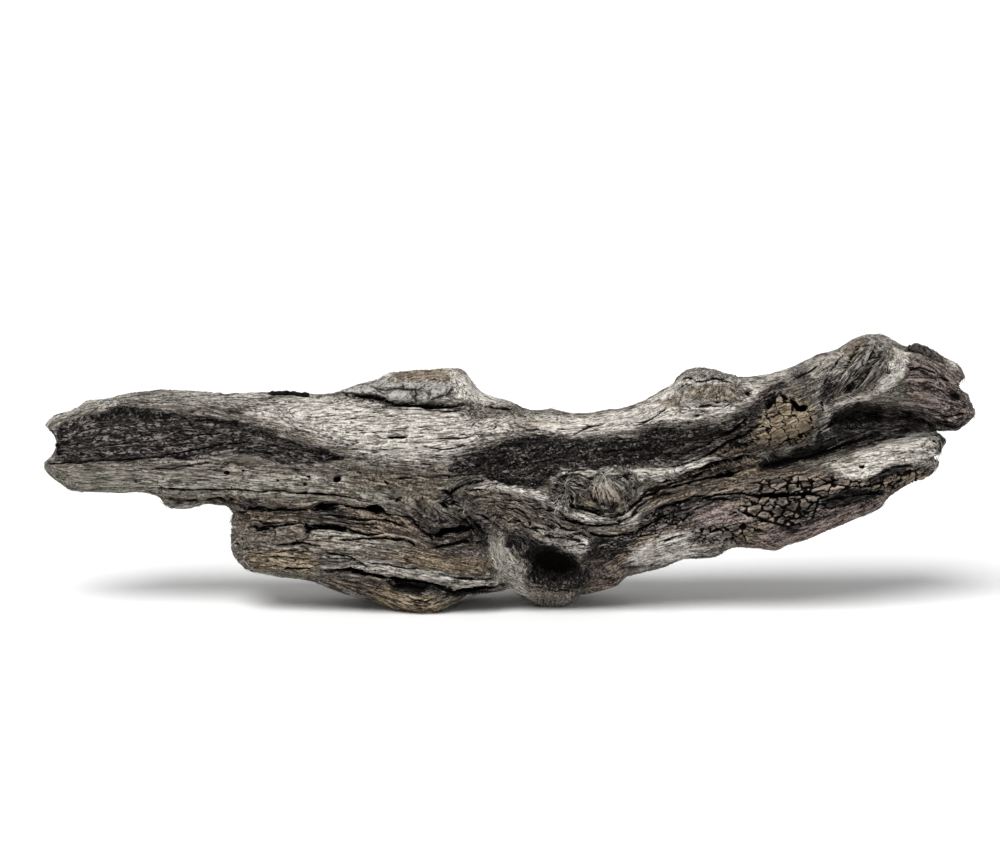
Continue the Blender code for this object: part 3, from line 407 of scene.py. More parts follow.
# Flow lines of the grain, drawn left to right: (place across the grain, points)
FLOWS = [
    (212, [(-375, 150), (-338, 163), (-277, 171), (-195, 170), (-134, 171), (-95, 184), (-42, 189)]),
    (156, [(-375, 146), (-320, 160), (-270, 158), (-220, 151), (-180, 141), (-130, 130), (-80, 129),
        (-40, 134), (0, 141), (35, 146), (70, 147), (110, 153)]),
    (140, [(-366, 130), (-330, 134), (-290, 140), (-250, 143), (-215, 142), (-185, 134), (-150, 124),
        (-110, 119)]),
    (118, [(-375, 116), (-320, 117), (-262, 120), (-200, 122), (-150, 117), (-100, 112), (-45, 107),
        (-5, 112), (30, 120), (70, 127), (110, 130), (150, 134), (180, 141), (215, 150), (245, 162),
        (262, 174), (280, 192), (292, 212)]),
    (98, [(-375, 105), (-300, 104), (-220, 103), (-150, 101), (-100, 97), (-50, 90), (-35, 84)]),
    (84, [(-350, 91), (-290, 93), (-200, 90), (-130, 86), (-90, 78), (-60, 62), (-40, 55)]),
    (72, [(-285, 82), (-240, 81), (-200, 78), (-134, 79), (-88, 70), (-62, 57), (-20, 50)]),
    (56, [(-221, 66), (-170, 65), (-120, 59), (-80, 50), (-40, 40), (-17, 38)]),
    (36, [(-221, 50), (-170, 45), (-120, 42), (-70, 33), (-20, 24), (0, 22)]),
    (17, [(-216, 34), (-170, 26), (-120, 28), (-60, 18), (-5, 14)]),
    (-8, [(-200, 25), (-150, 17), (-100, 0), (-60, -6), (-30, 8)]),
    (156, [(10, 141.5), (40, 141), (80, 143), (110, 147), (128, 156), (150, 156), (185, 160), (215, 172),
        (245, 188), (262, 203)]),
    (180, [(-170, 153), (-100, 154), (-50, 155), (-20, 158), (5, 159)]),
    (98, [(-5, 104), (18, 106), (35, 109), (55, 111), (85, 113), (110, 112), (140, 112), (175, 120),
        (210, 132), (240, 145), (262, 158), (300, 165), (345, 160), (370, 152)]),
    (70, [(-44, 88), (-28, 96), (-5, 98), (10, 92), (30, 84), (50, 77), (72, 71), (92, 71), (105, 80),
        (122, 91), (150, 98), (180, 104), (225, 115), (255, 123), (290, 134), (343, 139)]),
    (52, [(65, 62), (90, 60), (105, 64), (130, 76), (165, 88), (210, 95), (260, 104), (300, 112),
        (340, 120)]),
    (34, [(75, 48), (100, 50), (130, 56), (160, 66), (200, 74), (250, 84), (300, 96), (335, 108)]),
    (4, [(62, 8), (90, 18), (125, 32), (170, 42), (210, 44), (250, 57), (300, 78), (340, 106)]),
    (172, [(60, 152), (90, 156), (110, 163), (133, 170)]),
    (174, [(184, 178), (210, 183), (240, 195), (290, 215), (341, 206), (364, 188)]),
    (198, [(138, 164), (142, 176), (148, 188)]),
    (174, [(156, 164), (160, 174), (164, 188)]),
    (150, [(174, 164), (178, 174), (180, 182)]),
    (250, [(-92, 176), (-90, 181), (-88, 186)]),
    (216, [(-56, 174), (-56, 180), (-54, 188)]),
    (194, [(-34, 166), (-36, 174), (-42, 188)]),
    (100, [(258, 160), (285, 170), (300, 184), (306, 206)]),
    (130, [(322, 200), (340, 190), (356, 176)]),
    (116, [(300, 170), (320, 180), (345, 178), (370, 165)]),
    (50, [(-28, 78), (-10, 80), (4, 76), (18, 69), (39, 60), (52, 57), (66, 60)]),
    (34, [(-16, 60), (-4, 64), (16, 57), (32, 48), (46, 43), (60, 42), (74, 47)]),
    (-10, [(-17, 52), (-12, 32), (2, 14), (20, 2)]),
    (14, [(8, 50), (14, 30), (26, 2)]),
    (32, [(28, 46), (32, 26), (36, 2)]),
    (50, [(46, 40), (48, 24), (46, 2)]),
    (64, [(62, 30), (60, 16), (54, 4)]),
    (22, [(70, 34), (78, 35), (90, 40)]),
]

# Knots: centre, half width, half height, slant in degrees, the point their fibres spread from, and their curl
KNOTS = [(48, 90, 15, 13, 10, 47, 94, 0.8), (84, 93, 20, 17, 10, 76, 105, -0.35)]

# Where colours and textures lie on the sheet: (strength, softness in millimetres, outline)
REGIONS = {
    # Blackened wood, and painted shade: the stub's hollow and cavity, the slab's pit and gaps, the channel
    # between the limbs, and the shadows under the bark scraps and in the right end's notch
    "stain_and_shade": [
        (0.72, 2.5, STAIN_EDGE),
        (1.0, 4.0, [(-345, 146), (-325, 153), (-308, 160), (-285, 156), (-255, 152), (-225, 147),
            (-240, 142), (-270, 146), (-300, 146), (-320, 143)]),
        (0.85, 4.0, [(-225, 142), (-205, 143), (-180, 136), (-160, 129), (-146, 120), (-165, 121),
            (-190, 127)]),
        (0.75, 3.0, [(-330, 120), (-290, 124), (-240, 128), (-260, 118), (-300, 114), (-350, 112)]),
        (1.08, 1.2, [(-50, 107), (-45, 112), (-30, 120), (-15, 124), (0, 131), (10, 134), (22, 136),
            (30, 134), (35, 132), (60, 131.5), (75, 131.5), (85, 134), (92, 132), (100, 134), (108, 138),
            (113, 141), (125, 140), (140, 139.5), (150, 141), (165, 144), (178, 147), (176, 137),
            (165, 132), (150, 129), (135, 125), (120, 117), (100, 110), (75, 109.5), (60, 108), (45, 108),
            (35, 101), (25, 95), (18, 91), (8, 92), (0, 96), (-8, 101), (-20, 104), (-45, 104)]),
        (0.62, 3.0, [(100, 110), (120, 117), (135, 125), (150, 129), (176, 137), (165, 124), (150, 116),
            (135, 110), (118, 108)]),
        (0.38, 4.0, [(190, 64), (192, 92), (205, 101), (262, 102), (260, 88), (250, 72), (230, 60)]),
        (0.9, 3.0, [(172, 130), (178, 147), (190, 158), (200, 166), (214, 176), (226, 178), (222, 170),
            (206, 160), (200, 150), (194, 138), (184, 126)]),
        (0.55, 6.0, [(220, 178), (226, 190), (238, 193), (246, 188), (244, 178), (234, 174)]),
        (0.7, 3.0, [(248, 164), (252, 178), (260, 182), (268, 178), (262, 166), (256, 158)]),
        # Painted shade in the channel between the two limbs and under the upper limb's lower edge
        (1.2, 2.5, [(254, 142), (258, 151), (268, 156), (280, 161), (296, 162), (302, 152), (296, 146),
            (280, 142)]),
        (0.75, 3.0, [(242, 126), (250, 136), (262, 146), (300, 147), (320, 146), (335, 139), (318, 135),
            (300, 130), (285, 125), (262, 122), (250, 121)]),
        (0.5, 3.0, [(296, 148), (300, 160), (318, 162), (336, 156), (344, 148), (320, 146)]),
        (1.0, 1.6, [(300, 143), (316, 147), (330, 147), (344, 147), (344, 142), (334, 141), (316, 140)]),
        (1.5, 2.5, [(196, 106), (204, 116), (225, 122), (248, 130), (262, 134), (262, 122), (240, 114),
            (215, 108)]),
        (0.85, 2.5, [(316, 140), (345, 147), (362, 146), (367, 141), (344, 138.5)]),
        # Painted shadow in the notch at the right end
        (0.95, 2.0, [(352, 165), (354, 171), (360, 171), (366, 164), (360, 163)]),
        (0.9, 2.0, [(284, 98), (298, 105), (310, 111), (326, 112), (318, 107), (304, 99), (292, 95)]),
        (1.6, 2.5, [(244, 79), (254, 87), (270, 92), (298, 91), (304, 88), (288, 82), (268, 77),
            (254, 74)]),
        (0.7, 3.0, [(212, 60), (230, 68), (252, 74), (262, 70), (246, 62), (226, 56)]),
        (0.95, 3.0, [(60, 34), (64, 50), (68, 56), (82, 55), (104, 60), (106, 54), (98, 46), (84, 36)]),
        (0.75, 3.0, [(102, 56), (106, 68), (116, 78), (134, 82), (160, 86), (184, 88), (184, 82), (156, 78),
            (146, 66), (126, 58)]),
        # Painted shade in the deep hollow at the foot of the stub
        (1.4, 2.5, [(13, 50), (22, 50), (33, 45), (46, 39), (56, 38), (58, 30), (56, 20), (40, 18),
            (16, 22)]),
        (1.1, 3.0, [(13, 30), (54, 30), (66, 28), (66, 20), (60, 13), (44, 11), (30, 13), (17, 18)]),
        (0.8, 2.5, [(-3, 46), (0, 56), (10, 61), (20, 58), (24, 50), (16, 44), (8, 40)]),
        # Painted shade in the cavity between the slab and the stub
        (1.0, 2.0, [(-60, 53), (-54, 60), (-44, 62), (-34, 63), (-28, 68), (-20, 70), (-16, 60), (-18, 50),
            (-26, 54), (-36, 57), (-46, 56), (-54, 51)]),
        (0.5, 3.0, [(-70, 62), (-50, 68), (-24, 76), (-12, 70), (-18, 44), (-30, 44), (-44, 52),
            (-62, 50)]),
        (0.6, 3.0, [(-84, 70), (-72, 76), (-48, 73), (-30, 70), (-24, 66), (-42, 62), (-62, 66)]),
        # Painted shade in the deep pit under the crack
        (1.0, 1.5, [(-158, 72), (-156, 79), (-146, 82), (-134, 80), (-132, 75), (-144, 71)]),
        # Painted shade in the gaps under the slab's lower ledges
        (1.5, 2.5, [(-95, 14), (-90, 21), (-80, 21), (-66, 18.5), (-52, 15), (-57, 11), (-66, 12.5),
            (-74, 8), (-84, 11)]),
        (1.4, 1.5, [(-54, 10), (-44, 14), (-20, 15), (-5, 15), (-8, 11), (-30, 8), (-48, 8)]),
        (0.8, 2.0, [(-215, 75), (-214, 82), (-204, 85), (-196, 82), (-198, 76)]),
        (0.7, 2.0, [(-190, 81), (-170, 84), (-160, 82), (-172, 79)]),
        # Painted shadow under the lower edge of the bark plate
        (0.9, 1.5, [(-120, 165), (-100, 165), (-88, 160.5), (-60, 160), (-36, 161), (-36, 157), (-60, 157),
            (-90, 157), (-104, 161)]),
        # Painted shadow under the end bark
        (0.8, 1.5, [(318, 207), (330, 205), (341, 201), (344, 196), (334, 198), (320, 203)]),
        (0.8, 2.0, [(-52, 92), (-40, 92), (-36, 84), (-44, 76), (-54, 78), (-57, 86)]),
        (0.3, 4.0, [(36, 88), (38, 100), (48, 106), (58, 102), (58, 92), (52, 85), (42, 84)]),
        (1.0, 1.6, [(69, 84), (72, 86), (80, 82), (86, 79), (82, 76), (74, 78)]),
        (0.55, 4.0, [(-64, 52), (-16, 48), (-14, 34), (-30, 38), (-50, 36), (-66, 44)]),
    ],
    # Sun-bleached strands
    "bleach": [
        (0.5, 6.0, [(-375, 152), (-340, 166), (-240, 172), (-195, 171), (-195, 160), (-250, 158),
            (-290, 163), (-330, 157), (-368, 143)]),
        (0.64, 7.0, [(-212, 152), (-195, 166), (-150, 168), (-118, 165), (-95, 158), (-50, 156), (-20, 150),
            (10, 150), (24, 150), (30, 140), (0, 136), (-30, 127), (-52, 114), (-85, 112), (-120, 120),
            (-150, 130), (-180, 143)]),
        (0.78, 4.0, [(20, 152), (60, 151), (100, 157), (132, 174), (138, 168), (134, 158), (150, 153),
            (176, 158), (196, 164), (206, 178), (190, 180), (186, 166), (176, 152), (150, 146), (110, 144),
            (90, 137), (50, 134), (22, 138)]),
        (0.25, 6.0, [(-368, 108), (-300, 108), (-200, 106), (-130, 104), (-120, 92), (-200, 92),
            (-340, 92)]),
        (0.45, 2.0, [(-276, 80), (-262, 81), (-244, 82), (-246, 79), (-262, 77), (-274, 78)]),
        (0.62, 2.0, [(258, 112), (266, 113), (280, 121), (300, 131), (322, 138), (343, 139), (343, 119),
            (336, 115), (310, 112), (298, 106), (285, 99), (270, 100), (258, 104)]),
        (0.7, 4.0, [(92, 34), (100, 46), (118, 54), (138, 60), (148, 58), (146, 46), (162, 42), (150, 38),
            (128, 33), (108, 28)]),
        (0.9, 3.0, [(256, 158), (270, 163), (284, 168), (300, 176), (304, 192), (310, 204), (319, 204),
            (319, 184), (310, 174), (296, 167), (276, 160)]),
        (0.75, 3.0, [(100, 103), (108, 109), (126, 109), (144, 112), (170, 117), (160, 110), (142, 103),
            (120, 100)]),
        (0.5, 3.0, [(242, 130), (250, 150), (246, 174), (254, 176), (260, 152), (250, 130)]),
        (0.62, 2.5, [(-32, 96), (-14, 99), (0, 96), (14, 93), (24, 89), (34, 85), (48, 79), (46, 74),
            (34, 79), (20, 84), (4, 88), (-12, 91), (-30, 90)]),
        (0.75, 2.5, [(18, 66), (30, 64), (44, 61), (58, 56), (66, 50), (69, 44), (62, 42), (52, 41),
            (44, 43), (34, 46), (24, 51), (18, 56)]),
        (0.42, 4.0, [(-17, 52), (-10, 54), (4, 46), (12, 36), (14, 22), (14, 14), (4, 12), (-10, 18),
            (-16, 32)]),
        (0.7, 2.0, [(48, 72), (60, 74), (72, 69), (92, 63), (106, 66), (118, 80), (112, 80), (98, 70),
            (82, 66), (64, 66)]),
        (0.42, 1.8, [(-122, 30), (-114, 37), (-104, 36), (-88, 31), (-60, 26), (-38, 21), (-4, 18),
            (-4, 15), (-42, 14), (-80, 23), (-118, 28)]),
        (0.7, 3.0, [(32, 98), (36, 106), (60, 109), (96, 110), (112, 106), (106, 98), (98, 106), (84, 108),
            (66, 104), (56, 106), (44, 102), (38, 96)]),
        (0.5, 3.0, [(68, 84), (68, 102), (84, 108), (98, 103), (103, 90), (96, 84), (84, 82), (76, 80)]),
        (0.35, 3.0, [(36, 84), (38, 98), (48, 104), (60, 100), (60, 88), (50, 80), (40, 80)]),
        (0.6, 3.0, [(-4, 12), (10, 16), (24, 10), (60, 8), (50, -3), (22, -3)]),
        (0.45, 3.0, [(-158, 58), (-140, 60), (-112, 56), (-102, 51), (-106, 45), (-120, 42), (-140, 43),
            (-152, 46)]),
        (0.35, 2.5, [(-92, 4), (-78, 8), (-56, 3), (-50, -2), (-60, -7), (-88, -6)]),
        (0.35, 3.0, [(-206, 38), (-186, 44), (-160, 42), (-152, 31), (-190, 28)]),
        (0.5, 3.0, [(-146, 22), (-126, 24), (-106, 18), (-100, 8), (-130, 10)]),
        (0.35, 3.0, [(136, 176), (144, 188), (170, 189), (184, 182), (184, 168), (170, 158), (146, 158)]),
        (0.9, 1.6, [(264, 178), (271, 192), (280, 208), (283, 207), (275, 191), (268, 177)]),
        (0.9, 1.6, [(272, 178), (280, 191), (288, 207), (291, 205), (283, 189), (275, 176)]),
        (0.8, 1.6, [(280, 180), (290, 194), (297, 204), (299, 202), (292, 191), (283, 179)]),
        (0.9, 2.0, [(118, 166), (134, 178), (150, 181), (186, 180), (184, 177), (150, 177), (136, 172),
            (122, 162)]),
        (0.75, 2.5, [(136, 166), (146, 166), (160, 160), (182, 162), (180, 157), (160, 154), (140, 154)]),
        (0.8, 1.5, [(-67, 162), (-60, 164), (-50, 166.5), (-46, 165), (-53, 160.5), (-60, 159)]),
        (0.8, 1.5, [(187, 177), (194, 177), (195, 172), (188, 171.5)]),
        (0.95, 4.0, [(-104, 178), (-94, 186), (-40, 190), (-22, 170), (6, 160), (-20, 158), (-38, 164),
            (-46, 176)]),
        (0.5, 5.0, [(186, 170), (198, 182), (240, 196), (262, 204), (286, 217), (310, 214), (306, 198),
            (276, 186), (246, 178), (226, 178)]),
        (0.4, 4.0, [(150, 153), (160, 156), (180, 160), (176, 154)]),
        (0.6, 2.5, [(-106, 88), (-100, 93), (-93, 92), (-92, 86), (-98, 80)]),
        (0.5, 4.0, [(150, 92), (182, 99), (200, 99), (200, 94), (170, 88)]),
        (0.7, 2.5, [(334, 170), (342, 176), (352, 174), (352, 162), (342, 160)]),
        (0.5, 3.0, [(60, 100), (70, 109), (90, 108), (100, 98), (90, 102), (74, 102)]),
        (0.7, 3.0, [(334, 164), (338, 175), (354, 172), (352, 166), (344, 162)]),
        (0.6, 2.5, [(346, 190), (352, 196), (362, 194), (364, 186), (356, 184)]),
        (0.5, 2.5, [(207, 66), (210, 71), (218, 69), (223, 66), (214, 64)]),
        (0.6, 2.5, [(316, 108), (330, 115), (342, 112), (342, 107), (330, 108)]),
        (0.45, 2.0, [(284, 84), (300, 90), (304, 86), (296, 82)]),
    ],
    # Dark brown weathered wood, strand by strand
    "umber": [
        (0.95, 5.0, [(62, 8), (66, 36), (76, 58), (104, 60), (108, 78), (122, 92), (150, 100), (182, 106),
            (205, 114), (240, 110), (258, 102), (270, 98), (300, 100), (320, 112), (342, 108), (334, 98),
            (304, 84), (262, 64), (215, 44), (180, 48), (184, 78), (150, 76), (148, 60), (120, 52),
            (98, 42), (92, 20)]),
        (0.9, 3.0, [(116, 92), (120, 98), (150, 108), (170, 118), (180, 146), (200, 150), (205, 128),
            (200, 112), (180, 104), (150, 96)]),
        (0.32, 5.0, [(184, 176), (210, 180), (240, 192), (262, 203), (285, 215), (305, 213), (306, 196),
            (298, 180), (276, 166), (256, 160), (245, 168), (222, 172), (200, 166)]),
        (0.85, 4.0, [(-222, 80), (-200, 84), (-140, 84), (-88, 74), (-60, 74), (-24, 70), (-18, 44),
            (-60, 50), (-100, 52), (-150, 60), (-210, 60)]),
        (0.62, 4.0, [(-46, 84), (-30, 92), (-8, 92), (6, 86), (26, 80), (44, 70), (66, 60), (60, 50),
            (42, 46), (22, 50), (0, 54), (-16, 60), (-28, 72)]),
        (0.9, 2.0, [(-278, 86), (-262, 87), (-244, 86), (-222, 85), (-204, 84), (-205, 79), (-226, 80),
            (-242, 82), (-262, 81), (-276, 82)]),
        (0.25, 3.0, [(60, 88), (68, 102), (84, 106), (100, 98), (102, 86), (90, 78), (70, 79)]),
        (0.8, 4.0, [(-152, 24), (-140, 12), (-110, 5), (-100, 12), (-96, 22)]),
        (0.8, 3.0, [(-60, 10), (-45, 14), (-20, 14), (-28, 8), (-45, 1), (-52, 2)]),
        (0.5, 4.0, [(-218, 66), (-160, 66), (-158, 48), (-180, 48), (-216, 44)]),
        (0.62, 6.0, [(-130, 112), (-90, 112), (-50, 108), (-52, 80), (-100, 82), (-130, 96)]),
        (0.6, 4.0, [(300, 140), (320, 160), (345, 160), (372, 158), (372, 148), (362, 140), (344, 138)]),
        (0.9, 3.0, [(62, 8), (66, 26), (92, 30), (92, 18), (78, 10)]),
        (0.6, 3.0, [(10, 14), (24, 12), (60, 12), (58, 4), (44, -2), (22, -2)]),
        (0.7, 3.0, [(-86, 47), (-60, 49), (-36, 44), (-34, 32), (-60, 31), (-90, 35)]),
        (0.8, 5.0, [(-66, 54), (-30, 52), (-14, 46), (-12, 24), (-40, 22), (-68, 34)]),
    ],
    # Dry rot
    "ochre": [
        (0.75, 5.0, [(-214, 40), (-196, 44), (-158, 44), (-150, 30), (-160, 24), (-206, 28)]),
        (0.45, 5.0, [(-158, 56), (-120, 54), (-100, 48), (-140, 44), (-158, 46)]),
        (0.5, 5.0, [(-118, 40), (-70, 44), (-20, 44), (-12, 26), (-40, 22), (-80, 30)]),
        (1.1, 4.0, [(-108, 10), (-96, 14), (-80, 9), (-60, 6), (-50, -2), (-58, -8), (-90, -7), (-104, 0)]),
        (0.9, 6.0, [(198, 132), (202, 148), (208, 160), (222, 166), (234, 166), (246, 158), (244, 142),
            (238, 131), (215, 126)]),
        (0.9, 2.5, [(120, 160), (126, 166), (136, 168), (137, 162), (130, 158)]),
        (0.5, 4.0, [(140, 166), (144, 177), (180, 178), (184, 166), (172, 161), (152, 162)]),
        (0.7, 3.0, [(322, 158), (324, 170), (333, 172), (335, 160)]),
        (0.55, 5.0, [(-64, 50), (-20, 50), (-12, 30), (-40, 22), (-66, 28)]),
        (0.2, 5.0, [(194, 76), (198, 98), (240, 101), (262, 97), (258, 82), (225, 74)]),
        (0.75, 4.0, [(-96, 178), (-92, 186), (-75, 188), (-46, 190), (-42, 178), (-60, 177)]),
        (0.5, 4.0, [(4, 138), (10, 148), (30, 148), (38, 142), (24, 138)]),
        (0.5, 4.0, [(176, 96), (186, 108), (198, 113), (203, 106), (196, 100)]),
        (0.5, 4.0, [(50, 78), (60, 90), (74, 96), (100, 92), (98, 82), (84, 76), (66, 77)]),
        (0.6, 3.0, [(266, 204), (282, 214), (290, 214), (284, 200), (274, 190)]),
        (0.5, 4.0, [(285, 92), (300, 100), (330, 106), (326, 98), (300, 92)]),
    ],
    # Bare brown-pink heartwood
    "rose": [
        (0.8, 5.0, [(196, 46), (208, 62), (250, 76), (303, 88), (303, 78), (280, 68), (250, 54),
            (215, 42)]),
        (0.8, 4.0, [(318, 150), (321, 200), (345, 196), (366, 186), (360, 172), (374, 155), (366, 140),
            (344, 146)]),
        (0.9, 4.0, [(148, 60), (152, 74), (166, 80), (182, 80), (196, 66), (176, 62)]),
        (0.5, 5.0, [(64, 14), (68, 32), (95, 28), (90, 16)]),
        (0.4, 5.0, [(-330, 120), (-300, 150), (-200, 144), (-170, 126), (-230, 118)]),
    ],
    # Grey-green lichen
    "lichen": [
        (1.0, 3.0, [(316, 198), (320, 210), (345, 206), (364, 192), (362, 182), (345, 186)]),
        (0.75, 8.0, [(-130, 108), (-60, 106), (-40, 92), (-60, 76), (-100, 78), (-130, 90)]),
        (0.6, 8.0, [(-375, 104), (-300, 104), (-140, 102), (-140, 88), (-200, 84), (-350, 90)]),
        (1.0, 4.0, [(-17, 50), (-8, 52), (6, 44), (12, 30), (12, 16), (0, 12), (-12, 20)]),
        (0.7, 4.0, [(-34, 92), (-14, 92), (-4, 84), (-14, 76), (-34, 80)]),
        (0.6, 4.0, [(34, 104), (56, 108), (96, 108), (108, 98), (100, 88), (90, 100), (60, 100)]),
        (0.5, 6.0, [(-130, 140), (-60, 140), (-40, 130), (-60, 118), (-120, 120)]),
        (0.5, 5.0, [(300, 166), (304, 184), (316, 188), (330, 174), (316, 166)]),
        (0.5, 5.0, [(100, 86), (110, 98), (130, 100), (120, 90)]),
    ],
    # Block-cracked rot
    "blocks": [
        (1.1, 5.0, [(198, 129), (200, 146), (206, 160), (222, 167), (236, 167), (247, 158), (246, 142),
            (239, 130), (215, 124)]),
        (1.2, 3.0, [(148, 46), (149, 58), (166, 62), (184, 66), (202, 58), (190, 47)]),
        (1.35, 2.5, [(186, 72), (190, 92), (205, 101), (240, 102), (262, 102), (290, 98), (310, 106),
            (338, 108), (334, 98), (306, 90), (286, 91), (256, 88), (254, 72), (232, 60), (205, 62)]),
        (0.9, 3.0, [(100, 56), (116, 76), (142, 82), (144, 64), (118, 52)]),
        (0.9, 3.0, [(160, 122), (176, 134), (196, 142), (200, 130), (180, 120)]),
        (0.6, 2.5, [(258, 74), (270, 79), (300, 88), (304, 80), (280, 70), (262, 66)]),
    ],
    # Worn-through fibres with a velvet nap
    "fuzz": [
        (1.0, 3.0, [(-45, 105), (-45, 113), (-20, 124), (0, 131), (22, 136), (35, 132), (75, 131),
            (95, 133), (113, 141), (140, 139), (150, 141), (140, 112), (100, 109), (70, 110), (45, 108),
            (30, 97), (18, 91), (0, 96)]),
        (0.8, 3.0, [(14, 46), (63, 30), (62, 12), (44, 6), (24, 8), (14, 20)]),
        (0.35, 3.0, [(138, 164), (144, 177), (180, 178), (184, 166), (172, 160), (150, 158)]),
        (0.4, 4.0, [(-64, 48), (-16, 46), (-12, 26), (-40, 24), (-64, 32)]),
        (0.8, 4.0, [(-150, 24), (-110, 20), (-100, 6), (-140, 12)]),
        (0.5, 4.0, [(-110, 8), (-60, 6), (-50, -2), (-90, -8)]),
    ],
    # Deep wrinkles
    "wrinkle": [
        (1.0, 4.0, [(-48, 82), (-36, 94), (-8, 95), (4, 86), (28, 80), (46, 70), (66, 60), (70, 44),
            (52, 44), (26, 50), (0, 56), (-16, 60), (-34, 72)]),
        (0.7, 4.0, [(104, 92), (120, 100), (160, 118), (178, 146), (204, 150), (206, 114), (180, 104),
            (140, 90), (116, 80)]),
        (0.6, 5.0, [(-90, 76), (-60, 78), (-20, 70), (-16, 44), (-64, 46)]),
        (0.5, 6.0, [(184, 176), (240, 192), (285, 214), (305, 200), (262, 160), (220, 172)]),
    ],
    # Smooth, close-grained faces
    "calm": [
        (1.0, 6.0, [(-375, 116), (-262, 112), (-180, 108), (-110, 104), (-60, 96), (-76, 80), (-130, 84),
            (-290, 88), (-375, 92)]),
        (0.8, 4.0, [(258, 104), (262, 112), (300, 130), (343, 137), (343, 116), (300, 108), (285, 100)]),
        (0.7, 5.0, [(205, 46), (250, 60), (303, 86), (303, 78), (250, 54)]),
        (0.5, 8.0, [(0, 152), (60, 151), (110, 160), (130, 156), (90, 140), (30, 140)]),
        (0.8, 4.0, [(-66, 52), (-16, 48), (-13, 26), (-40, 22), (-68, 30)]),
        (1.0, 2.5, [(-18, 54), (-8, 56), (6, 48), (14, 34), (16, 12), (4, 8), (-10, 16), (-17, 32)]),
        (0.6, 3.0, [(14, 48), (62, 40), (62, 10), (16, 12)]),
    ],
    # Evenly coloured faces
    "even": [
        (0.4, 2.5, [(-18, 54), (-8, 56), (6, 48), (14, 34), (16, 12), (4, 8), (-10, 16), (-17, 32)]),
        (0.35, 3.0, [(-64, 48), (-16, 46), (-14, 24), (-40, 22), (-66, 30)]),
        (0.6, 5.0, [(-370, 108), (-300, 112), (-285, 98), (-340, 92)]),
        (0.4, 6.0, [(-300, 110), (-200, 112), (-150, 104), (-160, 92), (-285, 94)]),
        (0.2, 4.0, [(-218, 46), (-160, 50), (-150, 32), (-206, 28)]),
    ],
    # Frayed coarse fibres
    "frayed": [
        (1.0, 1.5, [(34, 84), (33, 96), (42, 103), (54, 104), (63, 98), (62, 86), (50, 78), (40, 78)]),
        (1.0, 1.5, [(66, 82), (64, 96), (72, 107), (84, 110), (98, 106), (104, 94), (98, 82), (84, 76),
            (72, 77)]),
        (0.35, 3.0, [(138, 164), (144, 177), (180, 178), (184, 166), (172, 160), (150, 158)]),
        (0.5, 3.0, [(-98, 178), (-94, 186), (-42, 190), (-36, 178)]),
        (0.6, 3.0, [(316, 150), (318, 198), (345, 196), (366, 186), (360, 172), (374, 155), (366, 140),
            (344, 146)]),
        (0.7, 4.0, [(256, 160), (262, 184), (282, 212), (300, 212), (306, 196), (290, 172)]),
        (0.9, 3.0, [(326, 104), (326, 136), (345, 140), (352, 128), (344, 108)]),
        (0.5, 4.0, [(258, 124), (262, 150), (300, 158), (340, 148), (320, 136), (285, 126)]),
        (0.6, 4.0, [(-150, 24), (-110, 20), (-60, 8), (-50, -2), (-90, -8), (-140, 12)]),
    ],
}

# Where the wood forks, drawn on the sheet
SLAB_PART = [
    (-300, -60), (-300, 71), (-224, 73), (-200, 76), (-160, 76), (-134, 79), (-100, 74), (-74, 65),
    (-58, 57), (-20.5, 59), (-17.5, 45), (-16, 32), (-13, 18), (-13, -60),
]
STUB_PART = [
    (-13, -60), (-13, 18), (-16, 32), (-17.5, 45), (-20.5, 59), (-44, 86), (-28, 97), (-5, 99), (20, 83),
    (48, 69), (67, 61), (75, 30), (72, -60),
]
UPPER_PART = [
    (112, 300), (107, 112), (180, 116), (250, 133), (290, 143), (344, 138), (420, 136), (420, 300),
]
LOWER_PART = [
    (107, 112), (180, 116), (250, 133), (290, 143), (344, 138), (420, 136), (420, -60), (100, -60),
]
PIECES = ["trunk", "side_slab", "branch_stub", "upper_limb", "lower_limb"]

# Bark scraps: lower edge, upper edge, depth where they lie, how proud the lower lip is, the lean of their
# outer face from upright, and a seed
BARK_PLATE = (
    [(-134, 169.3), (-122, 168.5), (-110, 167.8), (-104, 167.5), (-98, 165.5), (-95.5, 163.2), (-85, 162),
     (-76, 162.4), (-73, 161), (-67, 161.6), (-61, 163.8), (-55, 165.2), (-50, 168), (-44.5, 173.2)],
    [(-134, 170.2), (-124, 174.6), (-112, 175.6), (-103, 178.2), (-95, 178.6), (-90, 176.4), (-82, 178),
     (-73, 176.6), (-66, 178), (-60, 177), (-55, 175.4), (-50, 176.2), (-44.5, 174.8)],
    -26.0, 0.5, 0.0, 101,
)
PLATE_CRACKS = [
    (1.1, [(-73.5, 160), (-74.5, 164), (-73.5, 168), (-74.5, 171)]),
    (0.9, [(-106, 173), (-97, 171), (-88, 172.6), (-76, 171)]),
    (0.6, [(-62, 163.5), (-58, 165.5), (-52, 166.5)]),
    (0.6, [(-108, 175), (-104, 171), (-99, 168)]),
]
PLATE_LUMPS = [
    (-86, 166.4, 11, 5.2, 0, 5.4), (-68.5, 166.3, 5.6, 5.6, 0, 5.4), (-55.5, 170.3, 8, 4.0, 15, 4.0),
    (-118, 171.5, 15, 3.0, 4, 1.8), (-94, 175.2, 10, 2.6, 0, 2.0), (-68, 175.4, 7, 2.2, 0, 1.8),
]
END_BARK = (
    [(317, 200.5), (327, 199.5), (338, 194.5), (346, 190), (350, 187)],
    [(317, 203.5), (322, 210), (325, 212.5), (331, 211.5), (338, 208), (346, 200.5), (350, 194)],
    -16.0, 0.4, math.radians(45.0), 111,
)
END_CRACKS = [
    (0.7, [(318, 203), (330, 204), (341, 199), (350, 193)]),
    (0.6, [(331, 209), (332, 203), (334, 198)]),
]
